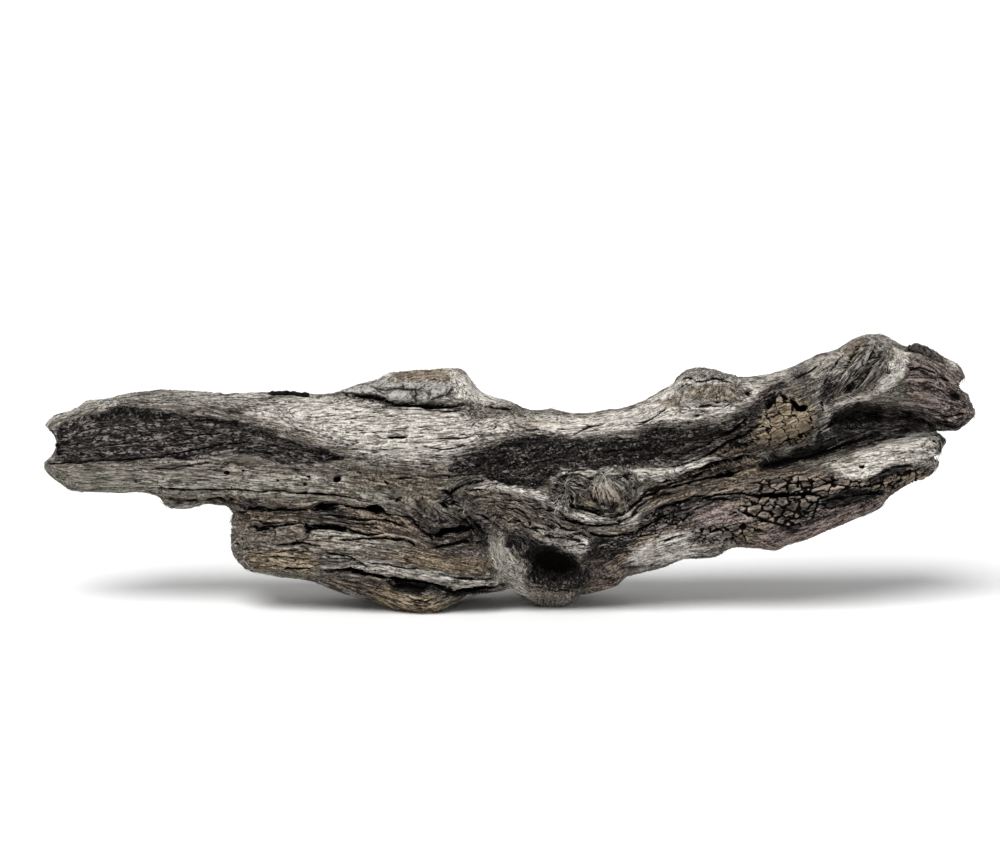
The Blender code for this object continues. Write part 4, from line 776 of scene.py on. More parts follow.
END_LUMPS = [(325, 204, 6, 5, 0, 2.2), (334, 201, 4.5, 6, 0, 1.8), (344, 194, 7, 6, -20, 1.8)]

# Stops along a scrap, rows across it, how deep it is sunk, its thickness, and where its rays start
SCRAP_STOPS = 150
SCRAP_ROWS = 26
SCRAP_SUNK = 2.0
SCRAP_THICK = 4.0
KEEP_CLEAR = 400.0

# The sliver of bark: its rings, half width, how deep it is sunk, its depth, its notch and its line
SLIVER_STOPS = 60
SLIVER_POINTS = 28
SLIVER_HALF = 4.4
SLIVER_SUNK = 4.0
SLIVER_DEPTH = -1.5
SLIVER_NOTCH = -174.0
SLIVER_SPINE = [(-192, 169.4), (-184, 169.8), (-172, 169.6), (-159, 168.4)]


def lift(points):
    """Place in the model, in metres, of rows of u, v and depth y."""
    u, v, y = points[:, 0], points[:, 1], points[:, 2]
    sin_tilt, cos_tilt = math.sin(VIEW_TILT), math.cos(VIEW_TILT)
    up = v - SHEET_V
    height = (up * (VIEW_DISTANCE + y * cos_tilt) - VIEW_DISTANCE * y * sin_tilt) / (
        VIEW_DISTANCE * cos_tilt + up * sin_tilt
    )
    shrink = (VIEW_DISTANCE + y * cos_tilt - height * sin_tilt) / VIEW_DISTANCE
    return np.column_stack((SHEET_U + (u - SHEET_U) * shrink, y, SHEET_Z + height)) * MM


def along(edge, u):
    """Height of a drawn edge at the positions u."""
    table = np.array(edge, float)
    return np.interp(u, table[:, 0], table[:, 1])


def smooth_step(low, high, value):
    """Ramp from 0 to 1 between two levels."""
    part = np.clip((value - low) / (high - low), 0.0, 1.0)
    return part * part * (3.0 - 2.0 * part)


def lattice_key(cell, seed):
    """Repeatable lattice index of whole-number cells."""
    key = (cell[:, 0] * 73856093) ^ (cell[:, 1] * 19349663) ^ (cell[:, 2] * 83492791) ^ (seed * 2654435)
    return key % GRID_SIZE


def grid_noise(position, seed):
    """Smooth repeatable noise from -1 to 1 at rows of positions."""
    lattice = np.random.default_rng(seed).uniform(-1.0, 1.0, GRID_SIZE)
    cell = np.floor(position).astype(np.int64)
    part = position - cell
    part = part * part * (3.0 - 2.0 * part)
    total = np.zeros(len(position))
    for corner in range(8):
        step = np.array([corner & 1, corner >> 1 & 1, corner >> 2 & 1])
        weight = np.prod(np.where(step == 1, part, 1.0 - part), axis=1)
        total += weight * lattice[lattice_key(cell + step, seed)]
    return total


def cell_borders(position, seed, flat):
    """Distance to the border between random cells, from 0 up to about 0.6 inside, and a cell value.

    Where flat is true the cells are columns that lie side by side.
    """
    spots = np.random.default_rng(seed).uniform(0.0, 1.0, (GRID_SIZE, 4))
    cell = np.floor(position).astype(np.int64)
    nearest = np.full(len(position), 9.0)
    second = np.full(len(position), 9.0)
    value = np.zeros(len(position))
    for shift in np.ndindex(3, 3, 3):
        other = cell + np.array(shift) - 1
        spot = spots[lattice_key(other, seed)]
        spot[:, 2] = np.where(flat, 0.5, spot[:, 2])
        far = np.linalg.norm(position - other - spot[:, :3], axis=1)
        closer = far < nearest
        second = np.where(closer, nearest, np.minimum(second, far))
        value = np.where(closer, spot[:, 3], value)
        nearest = np.where(closer, far, nearest)
    return second - nearest, value


def follow(line, u, v):
    """Distance to a drawn line, its side (+1 to its left), the run along it, and its whole length."""
    best = np.full(len(u), 1e9)
    side = np.ones(len(u))
    run = np.zeros(len(u))
    start = 0.0
    for (u0, v0), (u1, v1) in zip(line, line[1:]):
        du, dv = u1 - u0, v1 - v0
        length = math.hypot(du, dv)
        share = np.clip(((u - u0) * du + (v - v0) * dv) / length**2, 0.0, 1.0)
        off_u, off_v = u - u0 - share * du, v - v0 - share * dv
        far = off_u * off_u + off_v * off_v
        near = far < best
        best = np.where(near, far, best)
        side = np.where(near, np.sign(du * off_v - dv * off_u), side)
        run = np.where(near, start + share * length, run)
        start += length
    return np.sqrt(best), side, run, start


def inside(outline, u, v):
    """Whether sheet positions lie inside a closed outline."""
    hit = np.zeros(len(u), bool)
    for (u0, v0), (u1, v1) in zip(outline, outline[1:] + outline[:1]):
        if v0 != v1:
            crosses = (v0 > v) != (v1 > v)
            hit ^= crosses & (u < (u1 - u0) * (v - v0) / (v1 - v0) + u0)
    return hit


def near_line(line, u, v, reach):
    """Indices of the sheet positions within reach of a line's box."""
    table = np.array(line, float)
    low, high = table.min(axis=0) - reach, table.max(axis=0) + reach
    return np.flatnonzero((u > low[0]) & (u < high[0]) & (v > low[1]) & (v < high[1]))


def soft_region(outline, softness, u, v):
    """1 well inside an outline, 0 well outside it."""
    value = np.zeros(len(u))
    at = near_line(outline, u, v, softness)
    if len(at):
        far = follow(outline + outline[:1], u[at], v[at])[0]
        signed = np.where(inside(outline, u[at], v[at]), far, -far)
        value[at] = smooth_step(-softness, softness, signed)
    return value


def add_rings(bm, rings):
    """Close a row of rings of points into one solid."""
    loops = [[bm.verts.new(point) for point in ring] for ring in rings]
    for first, second in zip(loops, loops[1:]):
        for i in range(len(first)):
            j = (i + 1) % len(first)
            bm.faces.new((first[i], first[j], second[j], second[i]))
    bm.faces.new(loops[0][::-1])
    bm.faces.new(loops[-1])


def section(squareness):
    """Across and outward parts of a rounded section, one value for each point of a ring."""
    angle = np.linspace(0.0, 2.0 * math.pi, RING_POINTS, endpoint=False)
    power = 2.0 / squareness
    across = np.sign(np.cos(angle)) * np.abs(np.cos(angle)) ** power
    return across, np.sign(np.sin(angle)) * np.abs(np.sin(angle)) ** power


def length_rings(head, foot, depth, squareness, nose=0.0, sunk=None):
    """Rings of a length that runs along u, square to the ground, held between its two drawn edges.

    sunk names where the length ends inside another one, and where it has come out to its full size.
    """
    table = np.array(depth, float)
    start, end = table[0, 0], table[-1, 0]
    across, out = section(squareness)
    tilt = math.tan(VIEW_TILT)
    rings = []
    for u in np.linspace(start, end, max(3, int((end - start) / RING_STEP))):
        high, low = along(head, u), along(foot, u)
        front = np.interp(u, table[:, 0], table[:, 1])
        back = np.interp(u, table[:, 0], table[:, 2])
        size = 1.0
        if sunk is not None:
            size = 0.7 + 0.3 * float(smooth_step(0.0, 1.0, (u - sunk[0]) / (sunk[1] - sunk[0])))
        middle, half_depth = (front + back) / 2.0, size * (back - front) / 2.0
        half = size * (high - low) / 2.0
        half = math.sqrt(max(half * half - (tilt * half_depth) ** 2, (0.6 * half) ** 2))
        y = middle - half_depth * out
        bulge = nose * half * np.abs(out) * (1.0 - np.abs(across))
        v = (high + low) / 2.0 + half * across + bulge + tilt * (y - middle)
        rings.append([(u, v[i], y[i]) for i in range(RING_POINTS)])
    return rings


def level_rings(stations, squareness):
    """Rings of an upright length, each level on the sheet."""
    table = np.array(stations, float)[::-1]
    low, high = table[0, 0], table[-1, 0]
    side, out = section(squareness)
    rings = []
    for v in np.linspace(low, high, max(4, int((high - low) / RING_STEP))):
        left, right, front, back = (np.interp(v, table[:, 0], table[:, k]) for k in (1, 2, 3, 4))
        u = (left + right) / 2.0 + (right - left) / 2.0 * side
        y = (front + back) / 2.0 + (back - front) / 2.0 * out
        rings.append([(u[i], v, y[i]) for i in range(RING_POINTS)])
    return rings


def new_object(name, data):
    """Object linked to the scene."""
    made = bpy.data.objects.new(name, data)
    bpy.context.scene.collection.objects.link(made)
    return made


def settle(made):
    """Apply the modifiers of an object to its mesh."""
    bpy.context.view_layer.update()
    graph = bpy.context.evaluated_depsgraph_get()
    mesh = bpy.data.meshes.new_from_object(made.evaluated_get(graph))
    made.modifiers.clear()
    old = made.data
    made.data = mesh
    bpy.data.meshes.remove(old)
    mesh.name = made.name


def read_points(mesh, what="co"):
    """Vertex positions or normals of a mesh."""
    values = np.empty(len(mesh.vertices) * 3)
    mesh.vertices.foreach_get(what, values)
    return values.reshape(-1, 3)


def write_points(mesh, position):
    """Move the vertices of a mesh."""
    mesh.vertices.foreach_set("co", position.ravel())
    mesh.update()


def read_values(mesh, name, width=1):
    """Values of a point attribute."""
    layer = mesh.attributes[name]
    values = np.empty(len(mesh.vertices) * width)
    layer.data.foreach_get("vector" if width == 3 else "value", values)
    return values.reshape(-1, 3) if width == 3 else values


def write_values(mesh, name, values):
    """Store one number or one vector for each vertex."""
    kind = "FLOAT_VECTOR" if values.ndim == 2 else "FLOAT"
    layer = mesh.attributes.get(name) or mesh.attributes.new(name, kind, "POINT")
    layer.data.foreach_set("vector" if values.ndim == 2 else "value", values.ravel().astype(np.float32))


def edge_pairs(mesh):
    """Vertex indices of every edge."""
    pairs = np.empty(len(mesh.edges) * 2, np.int64)
    mesh.edges.foreach_get("vertices", pairs)
    return pairs.reshape(-1, 2)


def spread(values, pairs, times):
    """Values averaged with their neighbours, several times over."""
    count = len(values)
    first, second = pairs[:, 0], pairs[:, 1]
    links = np.bincount(first, minlength=count) + np.bincount(second, minlength=count)
    for _ in range(times):
        columns = []
        for column in values.reshape(count, -1).T:
            total = np.bincount(first, column[second], count) + np.bincount(second, column[first], count)
            columns.append(0.3 * column + 0.7 * total / np.maximum(links, 1))
        values = np.column_stack(columns).reshape(values.shape)
    return values


def fused_wood(voxel):
    """Every length of the wood fused into one skin on the sheet."""
    bm = bmesh.new()
    add_rings(bm, length_rings(TOP_EDGE, TRUNK_FOOT, TRUNK_DEPTH, 2.3, nose=-0.12, sunk=(116, 84)))
    add_rings(bm, length_rings(SLAB_HEAD, SLAB_FOOT, SLAB_DEPTH, 3.0))
    add_rings(bm, length_rings(TOP_EDGE, UPPER_LIMB_FOOT, UPPER_LIMB_DEPTH, 2.3, sunk=(58, 92)))
    add_rings(bm, length_rings(LOWER_LIMB_HEAD, LOWER_LIMB_FOOT, LOWER_LIMB_DEPTH, 2.4, sunk=(38, 54)))
    add_rings(bm, length_rings(RECESS_HEAD, RECESS_FOOT, RECESS_DEPTH, 2.4))
    add_rings(bm, level_rings(STUB_RINGS, 2.8))
    add_rings(bm, level_rings(HEEL_RINGS, 2.4))
    bmesh.ops.recalc_face_normals(bm, faces=bm.faces)
    mesh = bpy.data.meshes.new("skin")
    bm.to_mesh(mesh)
    bm.free()
    wood = new_object("skin", mesh)
    fuse = wood.modifiers.new("fuse", "REMESH")
    fuse.mode = "VOXEL"
    fuse.voxel_size = voxel
    fuse.adaptivity = 0.0
    soften = wood.modifiers.new("soften", "SMOOTH")
    soften.factor = 0.5
    soften.iterations = int(round(20.0 / voxel))
    settle(wood)
    return wood


def flow_lines(u, v):
    """Run along the grain and place across it, blended between the drawn flow lines."""
    weight_sum = np.zeros(len(u))
    run_sum = np.zeros(len(u))
    across_sum = np.zeros(len(u))
    for level, line in FLOWS:
        far, side, run, _ = follow(line, u, v)
        weight = 1.0 / (far * far + 6.0) ** 2
        weight_sum += weight
        run_sum += weight * (line[0][0] + run)
        across_sum += weight * (level + side * far)
    return run_sum / weight_sum, across_sum / weight_sum


def grain_field(u, v, y):
    """Grain coordinates in millimetres: the flow lines read from a grid, and rings round the knots."""
    us = np.arange(FLOW_LOW[0], FLOW_HIGH[0] + FLOW_STEP, FLOW_STEP)
    vs = np.arange(FLOW_LOW[1], FLOW_HIGH[1] + FLOW_STEP, FLOW_STEP)
    grid_u, grid_v = (part.ravel() for part in np.meshgrid(us, vs, indexing="ij"))
    tables = [part.reshape(len(us), len(vs)) for part in flow_lines(grid_u, grid_v)]
    place_u = np.clip((u - us[0]) / FLOW_STEP, 0.0, len(us) - 1.001)
    place_v = np.clip((v - vs[0]) / FLOW_STEP, 0.0, len(vs) - 1.001)
    i, j = place_u.astype(int), place_v.astype(int)
    share_u, share_v = place_u - i, place_v - j
    run, across = (
        (table[i, j] * (1.0 - share_v) + table[i, j + 1] * share_v) * (1.0 - share_u)
        + (table[i + 1, j] * (1.0 - share_v) + table[i + 1, j + 1] * share_v) * share_u
        for table in tables
    )
    stir = np.column_stack((u / 7.0, v / 5.5, y / 20.0))
    stir_u, stir_v = u + 2.2 * grid_noise(stir, 26), v + 2.2 * grid_noise(stir, 27)
    for mid_u, mid_v, wide, high, slant, from_u, from_v, curl in KNOTS:
        reach = oval(stir_u, stir_v, mid_u, mid_v, wide, high, slant)[0]
        share = smooth_step(1.05, 0.97, reach) * smooth_step(20.0, 0.0, y)
        far, angle = oval(stir_u, stir_v, from_u, from_v, 1.0, 1.0, -90.0)
        across += share * (18.0 * angle + curl * far + mid_v + 90.0 - across)
        run += share * (far + mid_u - run)
    return run, across


def oval(u, v, mid_u, mid_v, wide, high, slant):
    """Distance from the middle of a slanted oval, 1 on its rim, and the angle round it."""
    turn = math.radians(slant)
    du, dv = u - mid_u, v - mid_v
    across = (du * math.cos(turn) + dv * math.sin(turn)) / wide
    upward = (dv * math.cos(turn) - du * math.sin(turn)) / high
    return np.hypot(across, upward), np.arctan2(upward, across)


def carve_broad(wood):
    """Folds, lumps, the stained hollow and the notched ends. Returns how far each point faces the viewer."""
    position, normal = read_points(wood.data), read_points(wood.data, "normal")
    u, v, y = position.T.copy()
    front = smooth_step(0.05, 0.55, -normal[:, 2])
    warp = np.column_stack((u / 16.0, v / 12.0, y / 30.0))
    warp_u, warp_v = u + 1.6 * grid_noise(warp, 11), v + 1.3 * grid_noise(warp, 12)
    depth = np.zeros(len(u))
    for width, reach, line in FOLDS:
        at = near_line(line, u, v, 4.0 * width)
        far = follow(line, warp_u[at], warp_v[at])[0]
        depth[at] += reach * np.exp(-((far / width) ** 2))
    for mid_u, mid_v, wide, high, slant, rise in MOUNDS:
        reach = oval(warp_u, warp_v, mid_u, mid_v, wide, high, slant)[0]
        depth -= rise * np.clip(1.0 - reach * reach, 0.0, 1.0) ** (1.5 if rise > 0 else 1.3)
    edge = follow(STAIN_EDGE + STAIN_EDGE[:1], warp_u, warp_v)[0]
    depth += np.where(inside(STAIN_EDGE, warp_u, warp_v), STAIN_SINK * smooth_step(0.0, 5.0, edge), 0.0)
    position[:, 2] += depth * front
    for mid_u, mid_v, wide, high, sink in NOTCHES:
        near = np.clip(1.0 - ((u - mid_u) / wide) ** 2 - ((v - mid_v) / high) ** 2, 0.0, 1.0)
        position[:, 0] -= math.copysign(1.0, mid_u) * sink * near
    write_points(wood.data, position)
    return front


def drawn_cracks(front, u, v, y):
    """Depth of the drawn cracks, holes and flakes, and how deep in a crevice each point lies."""
    wide = np.column_stack((u / 9.0, v / 6.0, y / 20.0))
    fine = np.column_stack((u / 3.3, v / 2.6, y / 8.0))
    warp_u = u + 1.0 * grid_noise(wide, 21) + 0.5 * grid_noise(fine, 23)
    warp_v = v + 0.9 * grid_noise(wide, 22) + 0.45 * grid_noise(fine, 24)
    wave = 0.5 + 0.5 * grid_noise(np.column_stack((u / 5.0, v / 5.0, y / 20.0)), 25)
    sink = np.zeros(len(u))
    crevice = np.zeros(len(u))
    for width, reach, lip, line in CRACKS:
        at = near_line(line, u, v, 5.0 * width + 10.0)
        far, side, run, length = follow(line, warp_u[at], warp_v[at])
        ends = smooth_step(-0.5, 7.0, run) * smooth_step(-0.5, 7.0, length - run)
        opening = width * (0.4 + 0.6 * ends) * (0.6 + 0.8 * wave[at])
        cut = np.exp(-((far / opening) ** 2)) * (0.3 + 0.7 * ends) * front[at]
        proud = np.where(side * lip > 0.0, 1.0, -0.5) * abs(lip) * ends * np.exp(-far / LIP_REACH) * front[at]
        sink[at] += reach * cut - proud
        crevice[at] = np.maximum(crevice[at], np.minimum(1.3 * cut, 1.0))
    for mid_u, mid_v, along_grain, across_grain, slant, reach in HOLES:
        at = near_line([(mid_u, mid_v)], u, v, 3.0 * max(along_grain, across_grain))
        ring = oval(warp_u[at], warp_v[at], mid_u, mid_v, along_grain, across_grain, slant)[0]
        cut = smooth_step(1.35, 0.55, ring) * front[at]
        sink[at] += reach * cut
        crevice[at] = np.maximum(crevice[at], cut)
    for outline, height, edge in FLAKES:
        sink -= height * soft_region(outline, edge, warp_u, warp_v) * front
    return sink, crevice


def grain_relief(grain, marks, normal, u, v, y):
    """Height of the grain's own relief over the face, and its crevices."""
    run, across = grain
    calm = 1.0 - 0.8 * marks["calm"]
    at_back = smooth_step(-0.1, 0.5, normal[:, 2])
    at_rim = 1.0 - smooth_step(0.1, 0.45, np.abs(normal[:, 2]))

    def noise(length, gap, seed):
        return grid_noise(np.column_stack((run / length, across / gap, y / gap)), seed)

    # Ribs, strands and fibres along the grain, over soft lumps
    lump = grid_noise(np.column_stack((u / 20.0, v / 13.0, y / 13.0)), 34)
    height = (0.9 + 1.3 * at_back) * noise(75.0, 9.0, 31) * calm + 0.9 * noise(30.0, 3.8, 32) * calm
    height += 0.42 * noise(11.0, 1.8, 33) * (0.4 + 0.6 * calm) + 0.9 * lump * calm

    # Worn layers that overlap like shingles, each with a sharp lower edge
    layer = across / 4.4 + 0.9 * noise(66.0, 15.0, 35) + 0.3 * noise(8.0, 5.0, 37)
    slope = layer - np.floor(layer)
    ledge = np.where(slope < 0.8, slope / 0.8, (1.0 - slope) / 0.2)
    shown = smooth_step(-0.2, 0.35, noise(22.0, 7.0, 36)) * calm
    height += 1.25 * shown * (0.5 - ledge)
    crevice = 0.6 * smooth_step(0.75, 0.98, ledge) * shown

    # Checks that open along the grain
    for seed, length, gap, level, reach in CHECKS:
        line = noise(length, gap, seed)
        parts = smooth_step(0.0, 0.4, noise(0.5 * length, 2.0 * gap, seed + 50))
        split = np.clip(1.0 - np.abs(line) / level, 0.0, 1.0) * parts * (1.0 - 0.65 * marks["calm"])
        height -= reach * split
        crevice = np.maximum(crevice, split * (0.35 + 0.13 * reach))

    # Wrinkles: folds with pinched creases
    at = np.flatnonzero(marks["wrinkle"] > 0.02)
    fold = grid_noise(np.column_stack((run[at] / 15.0, across[at] / 3.6, y[at] / 7.0)), 38)
    kink = grid_noise(np.column_stack((u[at] / 7.0, v[at] / 4.0, y[at] / 6.0)), 39)
    crease = smooth_step(0.20, 0.02, np.abs(fold + 0.5 * kink)) * marks["wrinkle"][at]
    height[at] += 1.3 * fold * marks["wrinkle"][at] - 1.8 * crease
    crevice[at] = np.maximum(crevice[at], crease)

    # Block-cracked rot: rounded blocks a little longer than wide, parted by open cracks
    at = np.flatnonzero(marks["blocks"] > 0.02)
    plates = v[at] > PLATES_ABOVE
    long = np.where(plates, u[at] / 11.5, run[at] / 11.0)
    high = np.where(plates, v[at] / 9.0 + 0.02 * u[at], across[at] / 6.8)
    deep = np.where(plates, (y[at] + 20.0) / 80.0, y[at] / 9.0)
    kinks = 0.2 * kink_of(u[at], v[at], y[at])
    border, cell = cell_borders(np.column_stack((long, high, deep)) + kinks, 51, plates)
    gap = np.where(plates, 1.0, np.maximum(marks["blocks"][at], 1.0) ** 2)
    dome = smooth_step(0.01, 0.13, border / gap)
    height[at] += marks["blocks"][at] * (1.9 * (dome - 1.0) + 0.8 * (cell - 0.5))
    crevice[at] = np.maximum(crevice[at], smooth_step(0.10, 0.02, border / gap) * marks["blocks"][at])
    marks["block_tone"] = np.zeros(len(u))
    marks["block_tone"][at] = cell

    # Frayed coarse fibres
    coarse = noise(17.0, 3.0, 40)
    height += 1.0 * marks["frayed"] * coarse
    crevice = np.maximum(crevice, 0.95 * marks["frayed"] * smooth_step(-0.15, -0.5, coarse))

    # Velvet nap of the worn-through fibres
    at = np.flatnonzero(marks["fuzz"] > 0.02)
    height[at] += 0.9 * nap(u[at], v[at], y[at]) * marks["fuzz"][at]
    return height * (1.0 - 0.35 * at_rim), crevice


def kink_of(u, v, y):
    """Small sideways shifts that bend cell borders."""
    fine = np.column_stack((u / 3.0, v / 2.4, y / 4.0))
    return np.column_stack([grid_noise(fine, seed) for seed in (52, 53, 54)])


def nap(u, v, y):
    """Fine pile in two sizes, turned so that its lattice doesn't show."""
    turned = np.column_stack((0.8 * u + 0.6 * v, 0.8 * v - 0.6 * u, y + 0.3 * u))
    return grid_noise(turned / 1.6, 61) + 0.7 * grid_noise(turned / 3.3, 62)


def colour_marks(normal, u, v, y):
    """How strongly each mark lies on each point, with ragged edges, and mottled on the hidden back."""
    warp = np.column_stack((u / 14.0, v / 5.0, y / 12.0))
    fine = np.column_stack((u / 4.0, v / 1.9, y / 4.0))
    warp_u = u + 4.0 * grid_noise(warp, 71) + 1.6 * grid_noise(fine, 72)
    warp_v = v + 1.8 * grid_noise(warp, 73) + 1.3 * grid_noise(fine, 74)
    behind = smooth_step(0.25, 0.7, normal[:, 2])
    patches = np.column_stack((u / 70.0, v / 24.0, y / 24.0))
    marks = {}
    for seed, (name, areas) in enumerate(REGIONS.items(), start=81):
        value = np.zeros(len(u))
        for strength, softness, outline in areas:
            value = np.maximum(value, strength * soft_region(outline, softness, warp_u, warp_v))
        marks[name] = value * (1.0 - behind)
        if name in BACK_PATCHES:
            marks[name] += behind * BACK_PATCHES[name] * smooth_step(0.0, 0.5, grid_noise(patches, seed))
    return marks


def wood_skin(voxel, triangles):
    """The whole skin of the wood on the sheet, with its grain and its colour marks stored on it."""
    wood = fused_wood(voxel)
    mesh = wood.data
    u, v, _ = read_points(mesh).T.copy()
    front = carve_broad(wood)
    position, normal = read_points(mesh), read_points(mesh, "normal")
    y = position[:, 2].copy()
    grain = grain_field(u, v, y)
    marks = colour_marks(normal, u, v, y)
    sink, cracks = drawn_cracks(front, u, v, y)
    height, checks = grain_relief(grain, marks, normal, u, v, y)
    write_points(mesh, position + normal * (height - sink)[:, None])

    pairs = edge_pairs(mesh)
    position, normal = read_points(mesh), read_points(mesh, "normal")
    near_mean = spread(position, pairs, max(2, int(3.0 / voxel)))
    wide_mean = spread(near_mean, pairs, int(18.0 / voxel))
    small = np.einsum("ij,ij->i", normal, position - near_mean)
    large = np.einsum("ij,ij->i", normal, position - wide_mean)
    # Painted shade: crevice and hollow mark the cracks, checks and concave places that the material darkens
    crevice = np.maximum(np.maximum(cracks, checks), 0.7 * np.clip(-small / 0.45, 0.0, 1.0))
    write_values(mesh, "grain", np.column_stack((grain[0], grain[1], y)))
    write_values(mesh, "crevice", np.clip(crevice, 0.0, 1.0))
    write_values(mesh, "hollow", np.clip(-large / 2.0, 0.0, 1.0))
    # Convex places, marked for a painted highlight that is partly wear
    write_values(mesh, "wear_and_highlight", np.clip(small / 0.4, 0.0, 1.0) * 0.6 + np.clip(large / 2.0, 0.0, 1.0) * 0.6)
    for name in COLOUR_MARKS:
        write_values(mesh, name, marks[name])
    shown = 0.1 * smooth_step(1.0, 0.6, normal[:, 2]) + 0.9 * smooth_step(0.1, -0.5, normal[:, 2])
    above = lift(position)[:, 2] / MM
    bare = (1.0 - 0.8 * marks["calm"]) * np.clip(1.0 - 0.9 * marks["blocks"], 0.0, 1.0)
    bare *= smooth_step(8.0, 16.0, above)
    bare *= smooth_step(-368.0, -350.0, u) * (1.0 - 0.8 * smooth_step(334.0, 346.0, u))
    bare *= np.clip(1.0 - 1.3 * crevice, 0.0, 1.0) * np.clip(1.0 + large / 1.6, 0.0, 1.0)
    write_values(mesh, "fibres", (0.12 + 0.5 * marks["frayed"] + 0.4 * marks["fuzz"]) * bare * shown)
    write_values(mesh, "pile", marks["fuzz"])
    write_values(mesh, "granules", smooth_step(0.6, 1.0, marks["lichen"]))

    thin(wood, -normal[:, 2], triangles)
    return wood


def thin(made, facing, triangles):
    """Thin a mesh to a number of triangles, most of all where it doesn't face the viewer."""
    made.data.calc_loop_triangles()
    count = len(made.data.loop_triangles)
    if count <= triangles:
        return
    keep = made.vertex_groups.new(name="thin_here")
    bands = np.round(smooth_step(0.45, -0.35, facing) * THIN_BANDS)
    for level in range(THIN_BANDS + 1):
        chosen = np.flatnonzero(bands == level)
        keep.add(chosen.tolist(), THIN_FRONT + (1.0 - THIN_FRONT) * level / THIN_BANDS, "REPLACE")
    thinner = made.modifiers.new("thin", "DECIMATE")
    thinner.ratio = triangles / count
    thinner.vertex_group = keep.name
    thinner.vertex_group_factor = THIN_FACTOR
    thinner.use_collapse_triangulate = True
    settle(made)
    made.vertex_groups.clear()


def piece_of(u, v, y):
    """Which piece of the wood each sheet position belongs to, as an index into PIECES."""
    label = np.zeros(len(u), np.int64)
    label[inside(LOWER_PART, u, v)] = 4
    label[inside(UPPER_PART, u, v)] = 3
    label[inside(SLAB_PART, u, v)] = 1
    label[inside(STUB_PART, u, v) & (y < STUB_BACK)] = 2
    return label


def main_body(faces, count):
    """True for the triangles of the largest connected body."""
    group = np.arange(count)
    while True:
        low = group[faces].min(axis=1)
        before = group.copy()
        for k in range(3):
            np.minimum.at(group, faces[:, k], low)
        group = group[group]
        if np.array_equal(before, group):
            break
    owner = group[faces[:, 0]]
    values, sizes = np.unique(owner, return_counts=True)
    return owner == values[sizes.argmax()]


def part_wood(wood):
    """Split the skin at the forks and close each piece."""
    mesh = wood.data
    sheet = read_points(mesh)
    faces = np.empty(len(mesh.polygons) * 3, np.int64)
    mesh.loops.foreach_get("vertex_index", faces)
    faces = faces.reshape(-1, 3)
    middle = sheet[faces].mean(axis=1)
    label = piece_of(middle[:, 0], middle[:, 1], middle[:, 2])
    for index in range(1, len(PIECES)):
        own = np.flatnonzero(label == index)
        label[own[~main_body(faces[own], len(sheet))]] = 0
    place = lift(sheet)
    place[:, 2] = np.maximum(place[:, 2], 0.0)
    layers = [layer for layer in mesh.attributes if layer.domain == "POINT" and layer.data_type == "FLOAT"]
    values = {name: read_values(mesh, name) for name in [layer.name for layer in layers]}
    grain = read_values(mesh, "grain", 3)
    made = []
    for index, name in enumerate(PIECES):
        own = faces[label == index]
        used, own = np.unique(own, return_inverse=True)
        own = own.reshape(-1, 3)
        piece = bpy.data.meshes.new("driftwood_" + name)
        piece.from_pydata(place[used], [], own)
        for layer_name, value in values.items():
            write_values(piece, layer_name, value[used])
        write_values(piece, "grain", grain[used])
        bm = bmesh.new()
        bm.from_mesh(piece)
        rim = [edge for edge in bm.edges if edge.is_boundary]
        for edge in rim:
            edge.smooth = False
        caps = bmesh.ops.holes_fill(bm, edges=rim, sides=0)["faces"]
        bmesh.ops.triangulate(bm, faces=caps)
        for face in bm.faces:
            face.smooth = True
        bm.to_mesh(piece)
        bm.free()
        made.append(new_object("driftwood_" + name, piece))
        thin(made[-1], -read_points(piece, "normal")[:, 1], PIECE_TRIANGLES)
    old = wood.data
    bpy.data.objects.remove(wood)
    bpy.data.meshes.remove(old)
    return made


def add_socket(group, name, kind, way, value=None):
    """A named input or output of a node group."""
    socket = group.interface.new_socket(name=name, in_out=way, socket_type=kind)
    if value is not None:
        socket.default_value = value
    return socket


